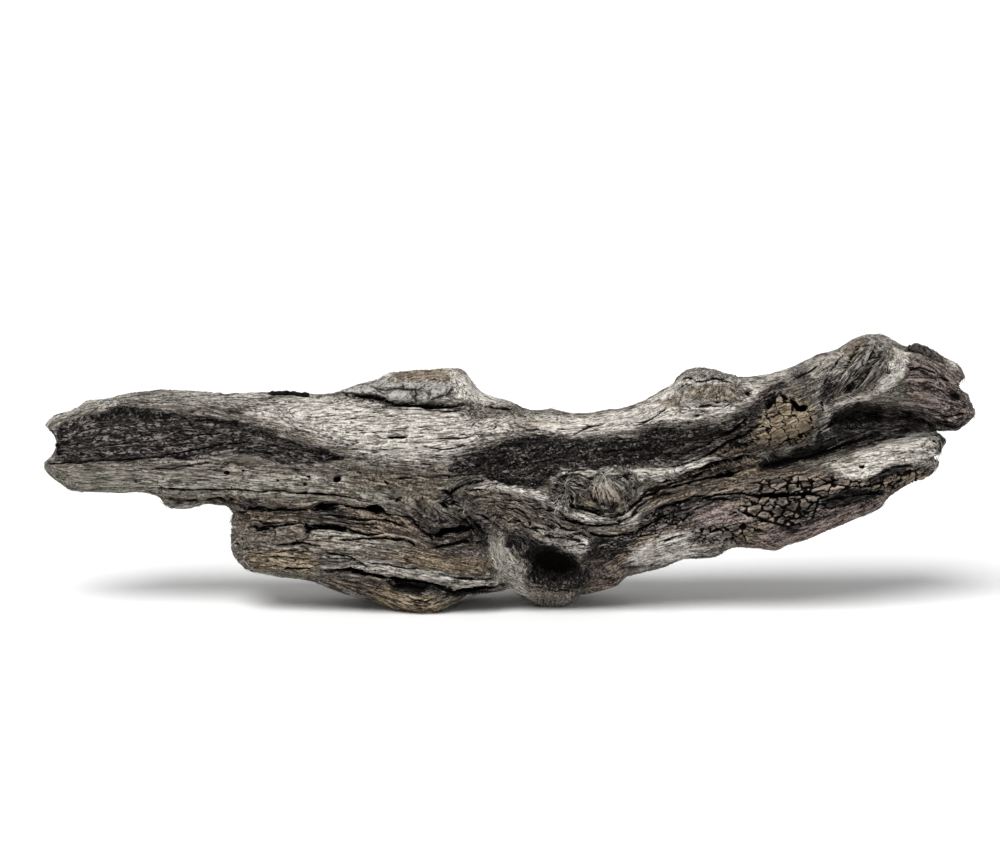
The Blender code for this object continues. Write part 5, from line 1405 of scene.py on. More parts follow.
class Nodes:
    """Short hand for adding linked nodes to a tree."""

    def __init__(self, tree):
        self.tree = tree

    def add(self, kind, inputs=None, **settings):
        """A node with its settings, its inputs linked or set by name or by number."""
        node = self.tree.nodes.new(kind)
        for key, value in settings.items():
            setattr(node, key, value)
        for key, value in (inputs or {}).items():
            socket = node.inputs[key]
            if isinstance(value, bpy.types.NodeSocket):
                self.tree.links.new(value, socket)
            else:
                socket.default_value = value
        return node

    def maths(self, operation, first, second=None, clamp=False):
        """Result of one sum."""
        inputs = {0: first}
        if second is not None:
            inputs[1] = second
        return self.add("ShaderNodeMath", inputs, operation=operation, use_clamp=clamp).outputs[0]

    def ramp(self, value, low, high, start=0.0, end=1.0):
        """Value carried smoothly from one range to another."""
        node = self.add("ShaderNodeMapRange", {0: value, 1: low, 2: high, 3: start, 4: end})
        node.interpolation_type = "SMOOTHSTEP"
        return node.outputs[0]

    def mix(self, share, first, second, blend="MIX"):
        """Two colours mixed."""
        node = self.tree.nodes.new("ShaderNodeMix")
        node.data_type = "RGBA"
        node.blend_type = blend
        for index, value in ((0, share), (6, first), (7, second)):
            if isinstance(value, bpy.types.NodeSocket):
                self.tree.links.new(value, node.inputs[index])
            else:
                node.inputs[index].default_value = value
        return node.outputs[2]

    def noise(self, place, scale, detail, roughness):
        """Smooth random value around 0.5."""
        inputs = {"Vector": place, "Scale": scale, "Detail": detail, "Roughness": roughness}
        return self.add("ShaderNodeTexNoise", inputs).outputs[0]

    def mark(self, name):
        """A value stored on the mesh."""
        return self.add("ShaderNodeAttribute", attribute_name=name).outputs["Fac"]

    def shade(self, shader, colour, roughness, normal):
        """Link what a surface looks like to its shader."""
        for name, value in (("Base Color", colour), ("Roughness", roughness), ("Normal", normal)):
            self.tree.links.new(value, shader.inputs[name])

    def plus(self, first, second, clamp=False):
        """Sum of two values."""
        return self.maths("ADD", first, second, clamp)

    def times(self, first, second, clamp=False):
        """Product of two values."""
        return self.maths("MULTIPLY", first, second, clamp)


def streak_group():
    """Node group: streaks of several sizes along the grain, from fibres to blotches, and round flecks."""
    group = bpy.data.node_groups.new("grain_streaks", "ShaderNodeTree")
    add_socket(group, "Grain", "NodeSocketVector", "INPUT")
    add_socket(group, "Place", "NodeSocketVector", "INPUT")
    nodes = Nodes(group)
    inlet = nodes.add("NodeGroupInput")
    grain = inlet.outputs["Grain"]

    def turned(vector):
        return nodes.add("ShaderNodeVectorRotate", {"Vector": vector, "Rotation": (0.7, 0.5, 0.6)},
                         rotation_type="EULER_XYZ").outputs[0]

    def noise(run, across, detail, roughness=0.6, shift=0.0):
        scale = nodes.add("ShaderNodeVectorMath", {0: grain, 1: (run, across, across)}, operation="MULTIPLY")
        moved = nodes.add("ShaderNodeVectorMath", {0: scale.outputs[0], 1: (shift, shift * 0.7, shift * 1.3)},
                          operation="ADD")
        return nodes.noise(turned(moved.outputs[0]), 1.0, detail, roughness)

    line = noise(0.060, 0.42, 1.0, 0.5, 41.0)
    away = nodes.maths("ABSOLUTE", nodes.maths("SUBTRACT", line, 0.5))
    present = nodes.ramp(noise(0.06, 0.12, 2.0, 0.5, 5.0), 0.45, 0.6)
    results = {
        "Fibre": noise(0.11, 0.70, 1.5),
        "Coarse": line,
        "Strand": noise(0.020, 0.20, 2.0, shift=17.0),
        "Checks": nodes.maths("MULTIPLY", nodes.ramp(away, 0.0, 0.06, 1.0, 0.0), present),
        "Blotch": noise(0.045, 0.085, 4.0, shift=73.0),
        "Patch": noise(0.10, 0.26, 2.0, shift=57.0),
        "Dash": noise(0.30, 0.72, 1.5, shift=91.0),
        "Fleck": nodes.noise(turned(inlet.outputs["Place"]), 560.0, 1.5, 0.65),
    }
    for name in results:
        add_socket(group, name, "NodeSocketFloat", "OUTPUT")
    nodes.add("NodeGroupOutput", results)
    return group


def flow_of(mesh):
    """Direction of the grain at each vertex of a finished piece: the way in which the run grows."""
    pairs, position = edge_pairs(mesh), read_points(mesh)
    run = read_values(mesh, "grain", 3)[:, 0]
    step = position[pairs[:, 1]] - position[pairs[:, 0]]
    slope = (run[pairs[:, 1]] - run[pairs[:, 0]]) / np.maximum((step**2).sum(axis=1), 1e-12)
    sums = [np.bincount(pairs.ravel(), np.repeat(slope * step[:, k], 2), len(position)) for k in range(3)]
    way = spread(np.column_stack(sums), pairs, 3)
    return way / np.maximum(np.linalg.norm(way, axis=1), 1e-9)[:, None]


class StrewNodes(Nodes):
    """Short hand for a geometry node group that strews small bodies over a mesh."""

    def stored(self, name, kind="FLOAT"):
        """A value stored on the mesh."""
        return self.add("GeometryNodeInputNamedAttribute", {"Name": name}, data_type=kind).outputs[0]

    def chance(self, low, high, seed):
        """A random number for each body."""
        inputs = {2: low, 3: high, "Seed": seed}
        return self.add("FunctionNodeRandomValue", inputs, data_type="FLOAT").outputs[1]

    def vector(self, operation, first, second):
        """Result of one sum of vectors, or of a vector and a number when scaling."""
        key = "Scale" if operation == "SCALE" else 1
        return self.add("ShaderNodeVectorMath", {0: first, key: second}, operation=operation).outputs[0]

    def joined(self, first, second, third):
        """Vector of three numbers."""
        return self.add("ShaderNodeCombineXYZ", {0: first, 1: second, 2: third}).outputs[0]

    def store(self, geometry, name, value):
        """Geometry with a value stored on its points."""
        inputs = {"Geometry": geometry, "Name": name, "Value": value}
        node = self.add("GeometryNodeStoreNamedAttribute", inputs, data_type="FLOAT", domain="POINT")
        return node.outputs[0]


def strew_group(name, weight, lengths):
    """New geometry node group with its inputs, and the points that it strews by a stored weight."""
    group = bpy.data.node_groups.new(name, "GeometryNodeTree")
    add_socket(group, "Geometry", "NodeSocketGeometry", "INPUT")
    add_socket(group, "Density", "NodeSocketFloat", "INPUT", 1000.0)
    for label, value in lengths.items():
        add_socket(group, label, "NodeSocketFloat", "INPUT", value)
    add_socket(group, "Seed", "NodeSocketInt", "INPUT", 1)
    add_socket(group, "Material", "NodeSocketMaterial", "INPUT")
    add_socket(group, "Geometry", "NodeSocketGeometry", "OUTPUT")
    nodes = StrewNodes(group)
    inlet = nodes.add("NodeGroupInput").outputs
    density = nodes.times(inlet["Density"], nodes.stored(weight))
    points = nodes.add("GeometryNodeDistributePointsOnFaces",
                       {"Mesh": inlet["Geometry"], "Density": density, "Seed": inlet["Seed"]}).outputs
    return nodes, inlet, points


def finish_strewing(nodes, inlet, points, body, way, scale):
    """Set the body on every point along a direction, make it real and give it its material."""
    turned = nodes.add("FunctionNodeAlignRotationToVector", {"Vector": way}, axis="Z").outputs[0]
    placed = nodes.add("GeometryNodeInstanceOnPoints",
                       {"Points": points, "Instance": body, "Rotation": turned, "Scale": scale}).outputs[0]
    real = nodes.add("GeometryNodeRealizeInstances", {"Geometry": placed}).outputs[0]
    coated = nodes.add("GeometryNodeSetMaterial", {"Geometry": real, "Material": inlet["Material"]})
    nodes.add("NodeGroupOutput", {"Geometry": coated.outputs[0]})
    return nodes.tree


def fibre_group():
    """Geometry node group: thin fibres that lie along the grain, or stand up as pile."""
    nodes, inlet, points = strew_group("fibres", "fibres", {"Length": 0.006, "Width": 0.0006})
    normal, pile = points["Normal"], nodes.stored("pile")
    lean = nodes.plus(nodes.times(pile, 0.9), nodes.chance(0.02, 0.30, 3))
    side = nodes.maths("SIGN", nodes.chance(-1.0, 1.0, 4))
    along_grain = nodes.stored("flow", "FLOAT_VECTOR")
    flow = nodes.vector("SCALE", along_grain, nodes.times(side, nodes.maths("COSINE", lean)))
    shift = nodes.joined(*(nodes.chance(-0.14, 0.14, seed) for seed in (5, 6, 7)))
    upward = nodes.vector("SCALE", normal, nodes.maths("SINE", lean))
    way = nodes.vector("ADD", nodes.vector("ADD", flow, shift), upward)
    sunk = nodes.vector("SCALE", normal, -FIBRE_SUNK)
    rooted = nodes.add("GeometryNodeSetPosition", {"Geometry": points["Points"], "Offset": sunk}).outputs[0]
    # Each fibre gets a random painted highlight and no painted crevice shade
    rooted = nodes.store(nodes.store(rooted, "wear_and_highlight", nodes.chance(0.0, 0.8, 9)), "crevice", 0.0)
    short = nodes.maths("SUBTRACT", 1.0, nodes.times(pile, 0.6))
    long = nodes.times(nodes.times(inlet["Length"], nodes.chance(0.35, 1.3, 10)), short)
    wide = nodes.times(inlet["Width"], nodes.chance(0.6, 1.3, 11))
    scale = nodes.joined(wide, wide, long)
    taper = {"Vertices": 3, "Radius Top": 0.15, "Radius Bottom": 0.5, "Depth": 1.0}
    body = nodes.add("GeometryNodeMeshCone", taper, fill_type="NGON").outputs["Mesh"]
    return finish_strewing(nodes, inlet, rooted, body, way, scale)


def granule_group():
    """Geometry node group: flat grains of lichen."""
    nodes, inlet, points = strew_group("granules", "granules", {"Size": 0.0008})
    size = nodes.times(inlet["Size"], nodes.chance(0.5, 1.4, 3))
    scale = nodes.joined(size, size, nodes.times(size, 0.6))
    # Grains of lichen get a middling painted highlight and no painted crevice shade
    marked = nodes.store(nodes.store(points["Points"], "crevice", 0.0), "wear_and_highlight", 0.5)
    body = nodes.add("GeometryNodeMeshIcoSphere", {"Radius": 1.0, "Subdivisions": 1}).outputs["Mesh"]
    return finish_strewing(nodes, inlet, marked, body, points["Normal"], scale)


def strew(piece, group, weight, count, slot, material, **inputs):
    """A new piece that rides with the wood: bodies strewn over another piece by a stored weight."""
    mesh = piece.data
    corners = np.empty(len(mesh.loops), np.int64)
    mesh.loops.foreach_get("vertex_index", corners)
    starts, area = np.empty(len(mesh.polygons), np.int64), np.empty(len(mesh.polygons))
    mesh.polygons.foreach_get("loop_start", starts)
    mesh.polygons.foreach_get("area", area)
    total = float((area * read_values(mesh, weight)[corners[starts]]).sum())
    made = new_object(piece.name + "_" + group.name, mesh.copy())
    inputs.update(Density=count / total, Material=material)
    step = made.modifiers.new("strew", "NODES")
    step.node_group = group
    for socket in group.interface.items_tree:
        if socket.in_out == "INPUT" and socket.name in inputs:
            step[socket.identifier] = inputs[socket.name]
    settle(made)
    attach(made, "root")
    return made


def new_material(name):
    """A material with its shader, ready for colours."""
    material = bpy.data.materials.new(name)
    material.use_nodes = True
    nodes = Nodes(material.node_tree)
    shader = material.node_tree.nodes["Principled BSDF"]
    shader.inputs["Specular IOR Level"].default_value = 0.03
    return material, nodes, shader


def wood_material(name, look):
    """Weathered wood: grain streaks under stain, bleach and rot colours, painted highlights on ridges and
    painted shade in crevices.
    """
    material, nodes, shader = new_material(name)
    grain = nodes.add("ShaderNodeAttribute", attribute_name="grain").outputs["Vector"]
    place = nodes.add("ShaderNodeTexCoord").outputs["Object"]
    streaks = nodes.add("ShaderNodeGroup", {"Grain": grain, "Place": place},
                        node_tree=bpy.data.node_groups["grain_streaks"]).outputs
    fibre, strand, fleck = streaks["Fibre"], streaks["Strand"], streaks["Fleck"]
    coarse, patch, blotch, dash = (streaks[key] for key in ("Coarse", "Patch", "Blotch", "Dash"))
    wear_and_highlight, stain_and_shade_mark, frayed, even = (nodes.mark(key) for key in ("wear_and_highlight", "stain_and_shade", "frayed", "even"))
    plus, times, ramp, mix = nodes.plus, nodes.times, nodes.ramp, nodes.mix

    # Fine texture from 0 to 1 that picks between the dark and the pale tone of each colour
    tone = plus(ramp(fibre, 0.41, 0.59, -0.05, 0.8), ramp(fleck, 0.39, 0.61, -0.45, 0.55))
    tone = plus(tone, ramp(patch, 0.36, 0.64, -0.22, 0.18))
    tone = plus(tone, times(frayed, ramp(coarse, 0.42, 0.58, -0.7, 0.9)))
    blocks = nodes.maths("MINIMUM", times(nodes.mark("blocks"), 0.65), 0.65)
    chosen = times(plus(times(nodes.mark("block_tone"), 0.6), 0.15), blocks)
    chosen = plus(chosen, times(even, 0.5))
    kept = nodes.maths("SUBTRACT", 1.0, nodes.maths("MAXIMUM", blocks, even))
    tone = plus(times(tone, kept), chosen)
    # Convex places pick the paler tone: partly wear, partly painted highlight
    proud = nodes.maths("SUBTRACT", nodes.maths("MINIMUM", wear_and_highlight, 0.65), 0.2)
    raised = plus(tone, times(proud, 0.8), True)
    tone = plus(tone, 0.0, True)

    def layer(below, mark, dark, pale, choice, strength=1.0, low=0.12, high=0.88, edge=fibre, rough=0.9):
        uneven = times(nodes.maths("SUBTRACT", edge, 0.5), rough)
        share = ramp(plus(mark, uneven), low, high, 0.0, strength)
        return mix(share, below, mix(choice, dark, pale))

    # Colours, each over those before it
    colour = mix(tone, look.grey, mix(ramp(strand, 0.35, 0.65), look.silver, look.grey))
    colour = mix(ramp(blotch, 0.45, 0.7, 0.0, 0.55), colour, look.green_grey)
    colour = layer(colour, nodes.mark("lichen"), look.green_grey, look.lichen, tone, 0.6)
    colour = layer(colour, nodes.mark("bleach"), look.silver, look.bleached, raised)
    streaky = times(raised, ramp(strand, 0.38, 0.6))
    colour = layer(colour, nodes.mark("umber"), look.umber, look.tan, streaky, 0.92)
    crumbly = plus(times(raised, 0.75), 0.22)
    colour = layer(colour, nodes.mark("ochre"), look.brown, look.ochre, crumbly, 0.85)
    streaky = times(raised, ramp(strand, 0.38, 0.58, 0.45, 1.0))
    colour = layer(colour, nodes.mark("rose"), look.rose_dark, look.rose, streaky, 0.9)

    # Grey dashes where the wood is half blackened, and few grey hairs where it is black
    half = plus(plus(ramp(dash, 0.42, 0.57, -0.3, 1.0), ramp(fleck, 0.36, 0.62, -0.2, 0.25)), 0.0, True)
    half = times(half, ramp(strand, 0.40, 0.56, 0.55, 1.0))
    half = times(half, ramp(patch, 0.40, 0.60, 0.15, 1.0))
    mixed = plus(times(dash, 0.5), times(fleck, 0.5))
    hairs = times(ramp(mixed, 0.49, 0.58, 0.0, 1.15), ramp(patch, 0.42, 0.6, 0.15, 1.0))
    hairs = times(hairs, ramp(stain_and_shade_mark, 1.0, 1.3, 1.0, 0.0))
    hairs = times(hairs, ramp(blotch, 0.42, 0.58, 0.35, 1.0))
    black = ramp(stain_and_shade_mark, 0.76, 0.96)
    threads = plus(times(half, nodes.maths("SUBTRACT", 1.0, black)), times(hairs, black))
    # The stain layer: blackened wood, and painted shade where the stain mark covers hollows, the channel and
    # the shadows under the bark
    colour = layer(colour, stain_and_shade_mark, look.stain_and_shade, look.stain_and_shade_grey, threads, 0.97, 0.32, 0.52, mixed, 1.6)

    # Painted highlight on the ridges, partly pale wear, dark fibres, and painted shade in the gaps between
    # frayed strands, in fine checks, in the hollows and in the crevices
    ridge_highlight = times(wear_and_highlight, ramp(fibre, 0.4, 0.65, 0.1, 0.5))
    ridge_highlight = times(ridge_highlight, ramp(stain_and_shade_mark, 0.2, 0.6, 1.0, 0.3))
    colour = mix(ridge_highlight, colour, mix(0.45, colour, look.bleached))
    dark = times(ramp(fibre, 0.30, 0.46, 0.9, 0.0), ramp(patch, 0.38, 0.58, 0.35, 1.0))
    colour = mix(dark, colour, mix(1.0, colour, look.shade, "MULTIPLY"))
    gap_shade = times(frayed, ramp(coarse, 0.37, 0.46, 0.9, 0.0))
    gap_shade = nodes.maths("MAXIMUM", gap_shade, times(streaks["Checks"], 0.8))
    colour = mix(gap_shade, colour, look.dirt_and_shade)
    shaded = plus(nodes.mark("hollow"), times(nodes.maths("SUBTRACT", tone, 0.5), -0.35))
    colour = mix(ramp(shaded, 0.2, 0.95, 0.0, 0.92), colour, look.dirt_and_shade)
    colour = mix(ramp(nodes.mark("crevice"), 0.08, 0.75, 0.0, 0.98), colour, look.dirt_and_shade)

    relief = plus(fibre, times(fleck, 0.35))
    relief = nodes.maths("SUBTRACT", relief, times(streaks["Checks"], 0.7))
    relief = plus(relief, times(frayed, coarse))
    bump = nodes.add("ShaderNodeBump", {"Strength": 0.9, "Distance": 0.0016, "Height": relief}).outputs[0]
    nodes.shade(shader, colour, ramp(fibre, 0.3, 0.7, 0.95, 0.8), bump)
    return material


def bark_material(name, low, high, dirt_and_shade):
    """Matt bark, mottled between two colours, with dark flecks and painted shade in its cracks and pits."""
    material, nodes, shader = new_material(name)
    place = nodes.add("ShaderNodeTexCoord").outputs["Object"]
    coarse = nodes.noise(place, 180.0, 5.0, 0.7)
    fine = nodes.noise(place, 520.0, 2.0, 0.65)
    colour = nodes.mix(nodes.ramp(coarse, 0.34, 0.56), low, high)
    colour = nodes.mix(nodes.ramp(fine, 0.34, 0.48, 0.85, 0.0), colour, dirt_and_shade)
    # Painted shade in the bark's cracks, pits and the rims of its lumps
    colour = nodes.mix(nodes.times(nodes.mark("crevice"), 0.95, True), colour, dirt_and_shade)
    height = nodes.plus(coarse, nodes.times(fine, 0.5))
    bump = nodes.add("ShaderNodeBump", {"Strength": 0.8, "Distance": 0.0012, "Height": height}).outputs[0]
    nodes.shade(shader, colour, nodes.ramp(fine, 0.3, 0.7, 0.97, 0.85), bump)
    return material


def tube(name, rings, crevice):
    """Closed object through rings of sheet points, an array (ring, point, 3), with its crevices marked."""
    count, width = rings.shape[:2]
    i, j = np.meshgrid(np.arange(count - 1), np.arange(width), indexing="ij")
    k = (j + 1) % width
    quads = np.stack((i * width + j, i * width + k, (i + 1) * width + k, (i + 1) * width + j), axis=-1)
    ends = [list(range(width))[::-1], list(range((count - 1) * width, count * width))]
    mesh = bpy.data.meshes.new(name)
    mesh.from_pydata(lift(rings.reshape(-1, 3)), [], quads.reshape(-1, 4).tolist() + ends)
    write_values(mesh, "crevice", crevice.ravel())
    bm = bmesh.new()
    bm.from_mesh(mesh)
    bmesh.ops.recalc_face_normals(bm, faces=bm.faces)
    for face in bm.faces:
        face.smooth = True
    bm.to_mesh(mesh)
    bm.free()
    return new_object(name, mesh)


def bark_scrap(name, tree, scrap, thickness, cracks, lumps):
    """A scrap of bark seated on the wood between two drawn edges: lumpy, cracked, with ragged edges."""
    low, high, base, lip, lean, seed = scrap
    us = np.linspace(low[0][0], low[-1][0], SCRAP_STOPS)
    share = np.linspace(0.0, 1.0, SCRAP_ROWS)
    u, part = np.meshgrid(us, share, indexing="ij")
    ragged = 1.1 * grid_noise(np.column_stack((us / 4.5, us * 0.0, us * 0.0 + 0.5)), seed)
    bottom = along(low, us) + ragged
    v = bottom[:, None] + (along(high, us) - bottom)[:, None] * part
    flat_u, flat_v = u.ravel(), v.ravel()
    swell = grid_noise(np.column_stack((flat_u / 12.0, flat_v / 5.0, flat_u * 0.0)), seed + 1)
    chips = grid_noise(np.column_stack((flat_u / 3.5, flat_v / 2.2, flat_u * 0.0)), seed + 2)
    grit = grid_noise(np.column_stack((flat_u / 1.3, flat_v / 1.1, flat_u * 0.0)), seed + 3)
    cut = np.zeros(len(flat_u))
    for width, line in cracks:
        far = follow(line, flat_u + 0.8 * chips, flat_v + 0.6 * swell)[0]
        cut = np.maximum(cut, np.exp(-((far / width) ** 2)))
    rim = smooth_step(0.0, 0.16, part) * smooth_step(1.0, 0.8, part)
    ends = smooth_step(0.0, 3.0, u - us[0]) * smooth_step(0.0, 3.0, us[-1] - u)
    height = thickness * (1.0 + lip * (1.0 - part)) * (0.55 + 0.45 * rim) * (0.5 + 0.5 * ends)
    relief = 0.7 * swell + 1.0 * chips + 0.5 * grit
    for mid_u, mid_v, wide, high, slant, rise in lumps:
        reach = oval(flat_u + 0.8 * chips, flat_v + 0.5 * swell, mid_u, mid_v, wide, high, slant)[0]
        relief += rise * np.clip(1.0 - reach**4, 0.0, 1.0)
        cut = np.maximum(cut, 0.45 * smooth_step(0.12, 0.0, np.abs(reach - 1.02)))
    height += (relief - 2.8 * cut).reshape(u.shape) * (0.45 + 0.55 * rim)
    out = Vector((0.0, math.sin(lean), -math.cos(lean)))
    starts = [Vector((a, b, base)) for a, b in zip(flat_u, flat_v)]
    seats = [tree.ray_cast(start + out * KEEP_CLEAR, -out)[0] or tree.find_nearest(start)[0]
             for start in starts]
    seats = np.array(seats).reshape(u.shape + (3,))
    outer = seats + np.array(out) * np.maximum(height, 0.4)[..., None]
    inner = seats - np.array(out) * SCRAP_SUNK
    rings = np.concatenate((outer, inner[:, ::-1]), axis=1)
    # Painted shade: cracks, lump rims and low chips are marked as crevices for the bark's material to darken
    deep = np.clip(cut.reshape(u.shape) + np.clip(-chips.reshape(u.shape) - 0.35, 0.0, 1.0), 0.0, 1.0)
    return tube(name, rings, np.concatenate((deep, deep[:, ::-1] * 0.0), axis=1))


def bark_strip(name):
    """The thin dark sliver of bark along the top of the left arm, curled and broken."""
    spine = np.array(SLIVER_SPINE)
    us = np.linspace(spine[0, 0], spine[-1, 0], SLIVER_STOPS)
    vs = np.interp(us, spine[:, 0], spine[:, 1])
    angle = np.linspace(0.0, 2.0 * math.pi, SLIVER_POINTS, endpoint=False)
    zero = np.zeros(len(us))
    ragged = grid_noise(np.column_stack((us / 3.0, zero, zero)), 121)
    notch = 1.0 - 0.75 * np.exp(-(((us - SLIVER_NOTCH) / 0.9) ** 2))
    to_end = np.minimum(us - us[0], us[-1] - us)
    half = SLIVER_HALF * np.minimum(1.0, 0.35 + to_end / 7.0) + 0.8 * ragged
    rise = (0.55 + 0.75 * ragged) * notch * np.minimum(1.0, 0.3 + to_end / 5.0)
    side, up = np.cos(angle), np.sin(angle)
    rings = np.empty((len(us), len(angle), 3))
    rings[:, :, 0] = us[:, None]
    rings[:, :, 1] = vs[:, None] + np.where(up > 0.0, up * rise[:, None], up * SLIVER_SUNK)
    rings[:, :, 2] = SLIVER_DEPTH + side * half[:, None]
    flat = rings.reshape(-1, 3)
    flat[:, 1] += 0.35 * grid_noise(flat / 1.6, 122) * (flat[:, 1] > 168.0)
    return tube(name, rings, np.zeros(rings.shape[:2]))


def paint(made, material):
    """Give an object one material."""
    made.data.materials.clear()
    made.data.materials.append(material)


def colour_setting(name, text, red, green, blue):
    """A linear colour that the user can change."""
    return bpy.props.FloatVectorProperty(name=name, description=text, default=(red, green, blue, 1.0), size=4,
                                         subtype="COLOR", min=0.0, max=1.0)


def size_setting(name, text, default, low, high):
    """A size in millimetres that the user can change."""
    return bpy.props.FloatProperty(name=name, description=text + ", in millimetres", default=default, min=low,
                                   max=high)


class DriftwoodLook(bpy.types.PropertyGroup):
    """Colours of the wood, linear."""

    grey: colour_setting("Grey", "Weathered wood, dark", 0.092, 0.078, 0.064)
    silver: colour_setting("Silver", "Weathered wood, pale", 0.460, 0.418, 0.370)
    green_grey: colour_setting("Green grey", "Algae tint of the sheltered wood", 0.125, 0.122, 0.090)
    bleached: colour_setting("Bleached", "Sun-bleached strands", 0.79, 0.755, 0.695)
    umber: colour_setting("Umber", "Dark brown wood", 0.030, 0.021, 0.016)
    tan: colour_setting("Tan", "Raised strands in the dark wood", 0.350, 0.275, 0.205)
    ochre: colour_setting("Ochre", "Dry rot, pale", 0.400, 0.310, 0.200)
    brown: colour_setting("Brown", "Dry rot, dark", 0.070, 0.046, 0.028)
    rose_dark: colour_setting("Heart dark", "Bare heartwood, dark", 0.075, 0.055, 0.050)
    rose: colour_setting("Heart", "Bare heartwood, pale", 0.400, 0.315, 0.285)
    # Blackened wood, also painted as shade into hollows, gaps, the channel between the limbs and under the
    # bark scraps
    stain_and_shade: colour_setting("Stain", "Blackened wood", 0.0038, 0.0033, 0.0033)
    stain_and_shade_grey: colour_setting("Stain grey", "Grey threads in the blackened wood", 0.270, 0.240, 0.228)
    shade: colour_setting("Shade", "Tint of the dark fibres", 0.16, 0.14, 0.125)
    # Near-black painted shade for crevices, checks, gaps and hollows; on bark it also makes the dark flecks
    dirt_and_shade: colour_setting("Dirt", "Dirt in the crevices", 0.0024, 0.0018, 0.0014)
    lichen: colour_setting("Lichen", "Grey-green lichen", 0.380, 0.385, 0.315)
    bark_grey: colour_setting("Bark grey", "Blue-grey bark", 0.450, 0.436, 0.412)
    bark_dark: colour_setting("Bark dark", "Near-black bark", 0.022, 0.019, 0.018)


class DriftwoodSizes(bpy.types.PropertyGroup):
    """Sizes of the wood and its stage."""

    voxel: size_setting("Voxel", "Grid of the fused skin", 0.85, 0.6, 4.0)
    triangles: bpy.props.IntProperty(name="Triangles", description="Triangles kept in the whole skin",
                                     default=680000, min=50000, max=900000)
    fibre_length: size_setting("Fibre length", "Usual length of a loose fibre", 6.0, 0.5, 30.0)
    fibre_width: size_setting("Fibre width", "Usual width of a loose fibre", 0.55, 0.1, 3.0)
    granule: size_setting("Granule", "Usual radius of a grain of lichen", 0.8, 0.1, 5.0)
    lens: size_setting("Lens", "Focal length of the camera", 100.0, 20.0, 300.0)


def finish_piece(piece, node):
    """Let a piece ride with the wood and stand for its node."""
    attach(piece, "root")
    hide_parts(node)


class DRIFTWOOD_OT_wood(bpy.types.Operator):
    """Carve the wood, part it at its forks and lay the bark scraps on it"""

    bl_idname = "driftwood.wood"
    bl_label = "Wood and bark"

    def execute(self, context):
        sizes, look = context.scene.driftwood_sizes, context.scene.driftwood_look
        coarse = 1.0
        skin = wood_skin(sizes.voxel * coarse, int(sizes.triangles / coarse**2))
        tree = BVHTree.FromPolygons(
            [vert.co for vert in skin.data.vertices], [tuple(face.vertices) for face in skin.data.polygons]
        )
        plate = bark_scrap("driftwood_bark_plate", tree, BARK_PLATE, SCRAP_THICK, PLATE_CRACKS, PLATE_LUMPS)
        paint(plate, bark_material("grey_bark", look.grey, look.bark_grey, look.dirt_and_shade))
        finish_piece(plate, "bark_plate")
        crust = bark_scrap("driftwood_end_bark", tree, END_BARK, SCRAP_THICK, END_CRACKS, END_LUMPS)
        paint(crust, bark_material("lichen_bark", look.bark_dark, look.shade, look.dirt_and_shade))
        finish_piece(crust, "end_bark")
        strip = bark_strip("driftwood_bark_sliver")
        paint(strip, bark_material("dark_bark", look.stain_and_shade, look.bark_dark, look.dirt_and_shade))
        finish_piece(strip, "bark_sliver")

        streak_group()
        material = wood_material("weathered_wood", look)
        rotten = wood_material("rotten_wood", look)
        fibres, granules = fibre_group(), granule_group()
        fewer = 1.0
        for seed, (node, piece) in enumerate(zip(PIECES, part_wood(skin))):
            slot = "rotten_wood" if node == "side_slab" else "weathered_wood"
            coat = rotten if node == "side_slab" else material
            write_values(piece.data, "flow", flow_of(piece.data))
            strew(piece, fibres, "fibres", FIBRES[node] * fewer, slot, coat, Length=sizes.fibre_length * MM,
                  Width=sizes.fibre_width * MM, Seed=seed)
            if node == "upper_limb":
                strew(piece, granules, "granules", GRANULES * fewer, slot, coat, Size=sizes.granule * MM,
                      Seed=seed)
            paint(piece, coat)
            finish_piece(piece, node)
        return {"FINISHED"}


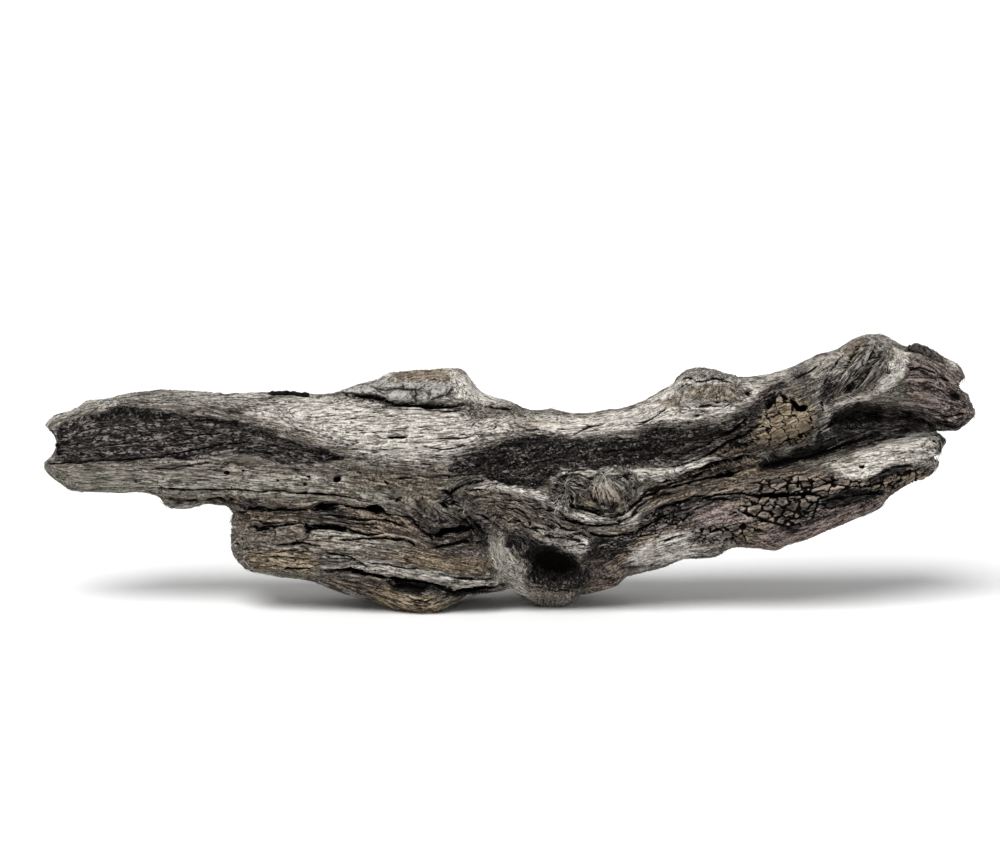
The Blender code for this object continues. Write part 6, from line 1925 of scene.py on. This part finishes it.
class DRIFTWOOD_OT_stage(bpy.types.Operator):
    """Pale floor that sweeps up far behind the wood, soft studio light and the camera"""

    bl_idname = "driftwood.stage"
    bl_label = "Stage"

    def execute(self, context):
        scene = context.scene
        turns = np.linspace(0.1, 1.5, 14)
        sweep = [(FLOOR_NEAR, 0.0), (FLOOR_FAR, 0.0)]
        sweep += [(FLOOR_FAR + 2.0 * math.sin(turn), 2.0 - 2.0 * math.cos(turn)) for turn in turns]
        sweep.append((FLOOR_FAR + 2.2, 6.0))
        points = [(side, y, z) for side in (FLOOR_NEAR, -FLOOR_NEAR) for y, z in sweep]
        count = len(sweep)
        faces = [(i, i + count, i + count + 1, i + 1) for i in range(count - 1)]
        mesh = bpy.data.meshes.new("floor")
        mesh.from_pydata(points, [], faces)
        mesh.shade_smooth()
        floor = new_object("floor", mesh)
        material, _, shader = new_material("floor")
        shader.inputs["Base Color"].default_value = (FLOOR_WHITE, FLOOR_WHITE, FLOOR_WHITE, 1.0)
        shader.inputs["Roughness"].default_value = 1.0
        paint(floor, material)

        lamp = bpy.data.lights.new("key", "SUN")
        lamp.energy = SUN_ENERGY
        lamp.angle = SUN_ANGLE
        key = new_object("key", lamp)
        key.rotation_euler = SUN_FROM.to_track_quat("Z", "Y").to_euler()
        world = bpy.data.worlds.new("studio")
        world.use_nodes = True
        background = world.node_tree.nodes["Background"].inputs
        background["Color"].default_value = (1.0, 1.0, 1.0, 1.0)
        background["Strength"].default_value = SKY_STRENGTH
        scene.world = world
        scene.view_settings.view_transform = "Standard"

        camera = bpy.data.cameras.new("camera")
        camera.lens = scene.driftwood_sizes.lens
        camera.sensor_width = SENSOR
        made = new_object("camera", camera)
        target = Vector((SHEET_U * MM, 0.0, SHEET_Z * MM))
        back = VIEW_DISTANCE * MM
        made.location = target + Vector((0.0, -back * math.cos(VIEW_TILT), back * math.sin(VIEW_TILT)))
        made.rotation_euler = (math.pi / 2.0 - VIEW_TILT, 0.0, 0.0)
        scene.camera = made
        return {"FINISHED"}


class DRIFTWOOD_PT_panel(bpy.types.Panel):
    """Steps that build the driftwood"""

    bl_label = "Driftwood"
    bl_idname = "DRIFTWOOD_PT_panel"
    bl_space_type = "VIEW_3D"
    bl_region_type = "UI"
    bl_category = "Driftwood"

    def draw(self, context):
        for group in (context.scene.driftwood_sizes, context.scene.driftwood_look):
            for name in group.__annotations__:
                self.layout.prop(group, name)
        for step in STEPS:
            self.layout.operator(step.bl_idname)


STEPS = (DRIFTWOOD_OT_wood, DRIFTWOOD_OT_stage)
CLASSES = (DriftwoodLook, DriftwoodSizes) + STEPS + (DRIFTWOOD_PT_panel,)


def register():
    """Make the operators, the settings and the panel known to Blender."""
    for entry in CLASSES:
        bpy.utils.register_class(entry)
    bpy.types.Scene.driftwood_look = bpy.props.PointerProperty(type=DriftwoodLook)
    bpy.types.Scene.driftwood_sizes = bpy.props.PointerProperty(type=DriftwoodSizes)


def unregister():
    """Take them away again."""
    del bpy.types.Scene.driftwood_sizes
    del bpy.types.Scene.driftwood_look
    for entry in reversed(CLASSES):
        bpy.utils.unregister_class(entry)


def main():
    """Build the scene step by step."""
    register()
    bpy.ops.driftwood.wood()
    bpy.ops.driftwood.stage()


if __name__ == "__main__":
    main()
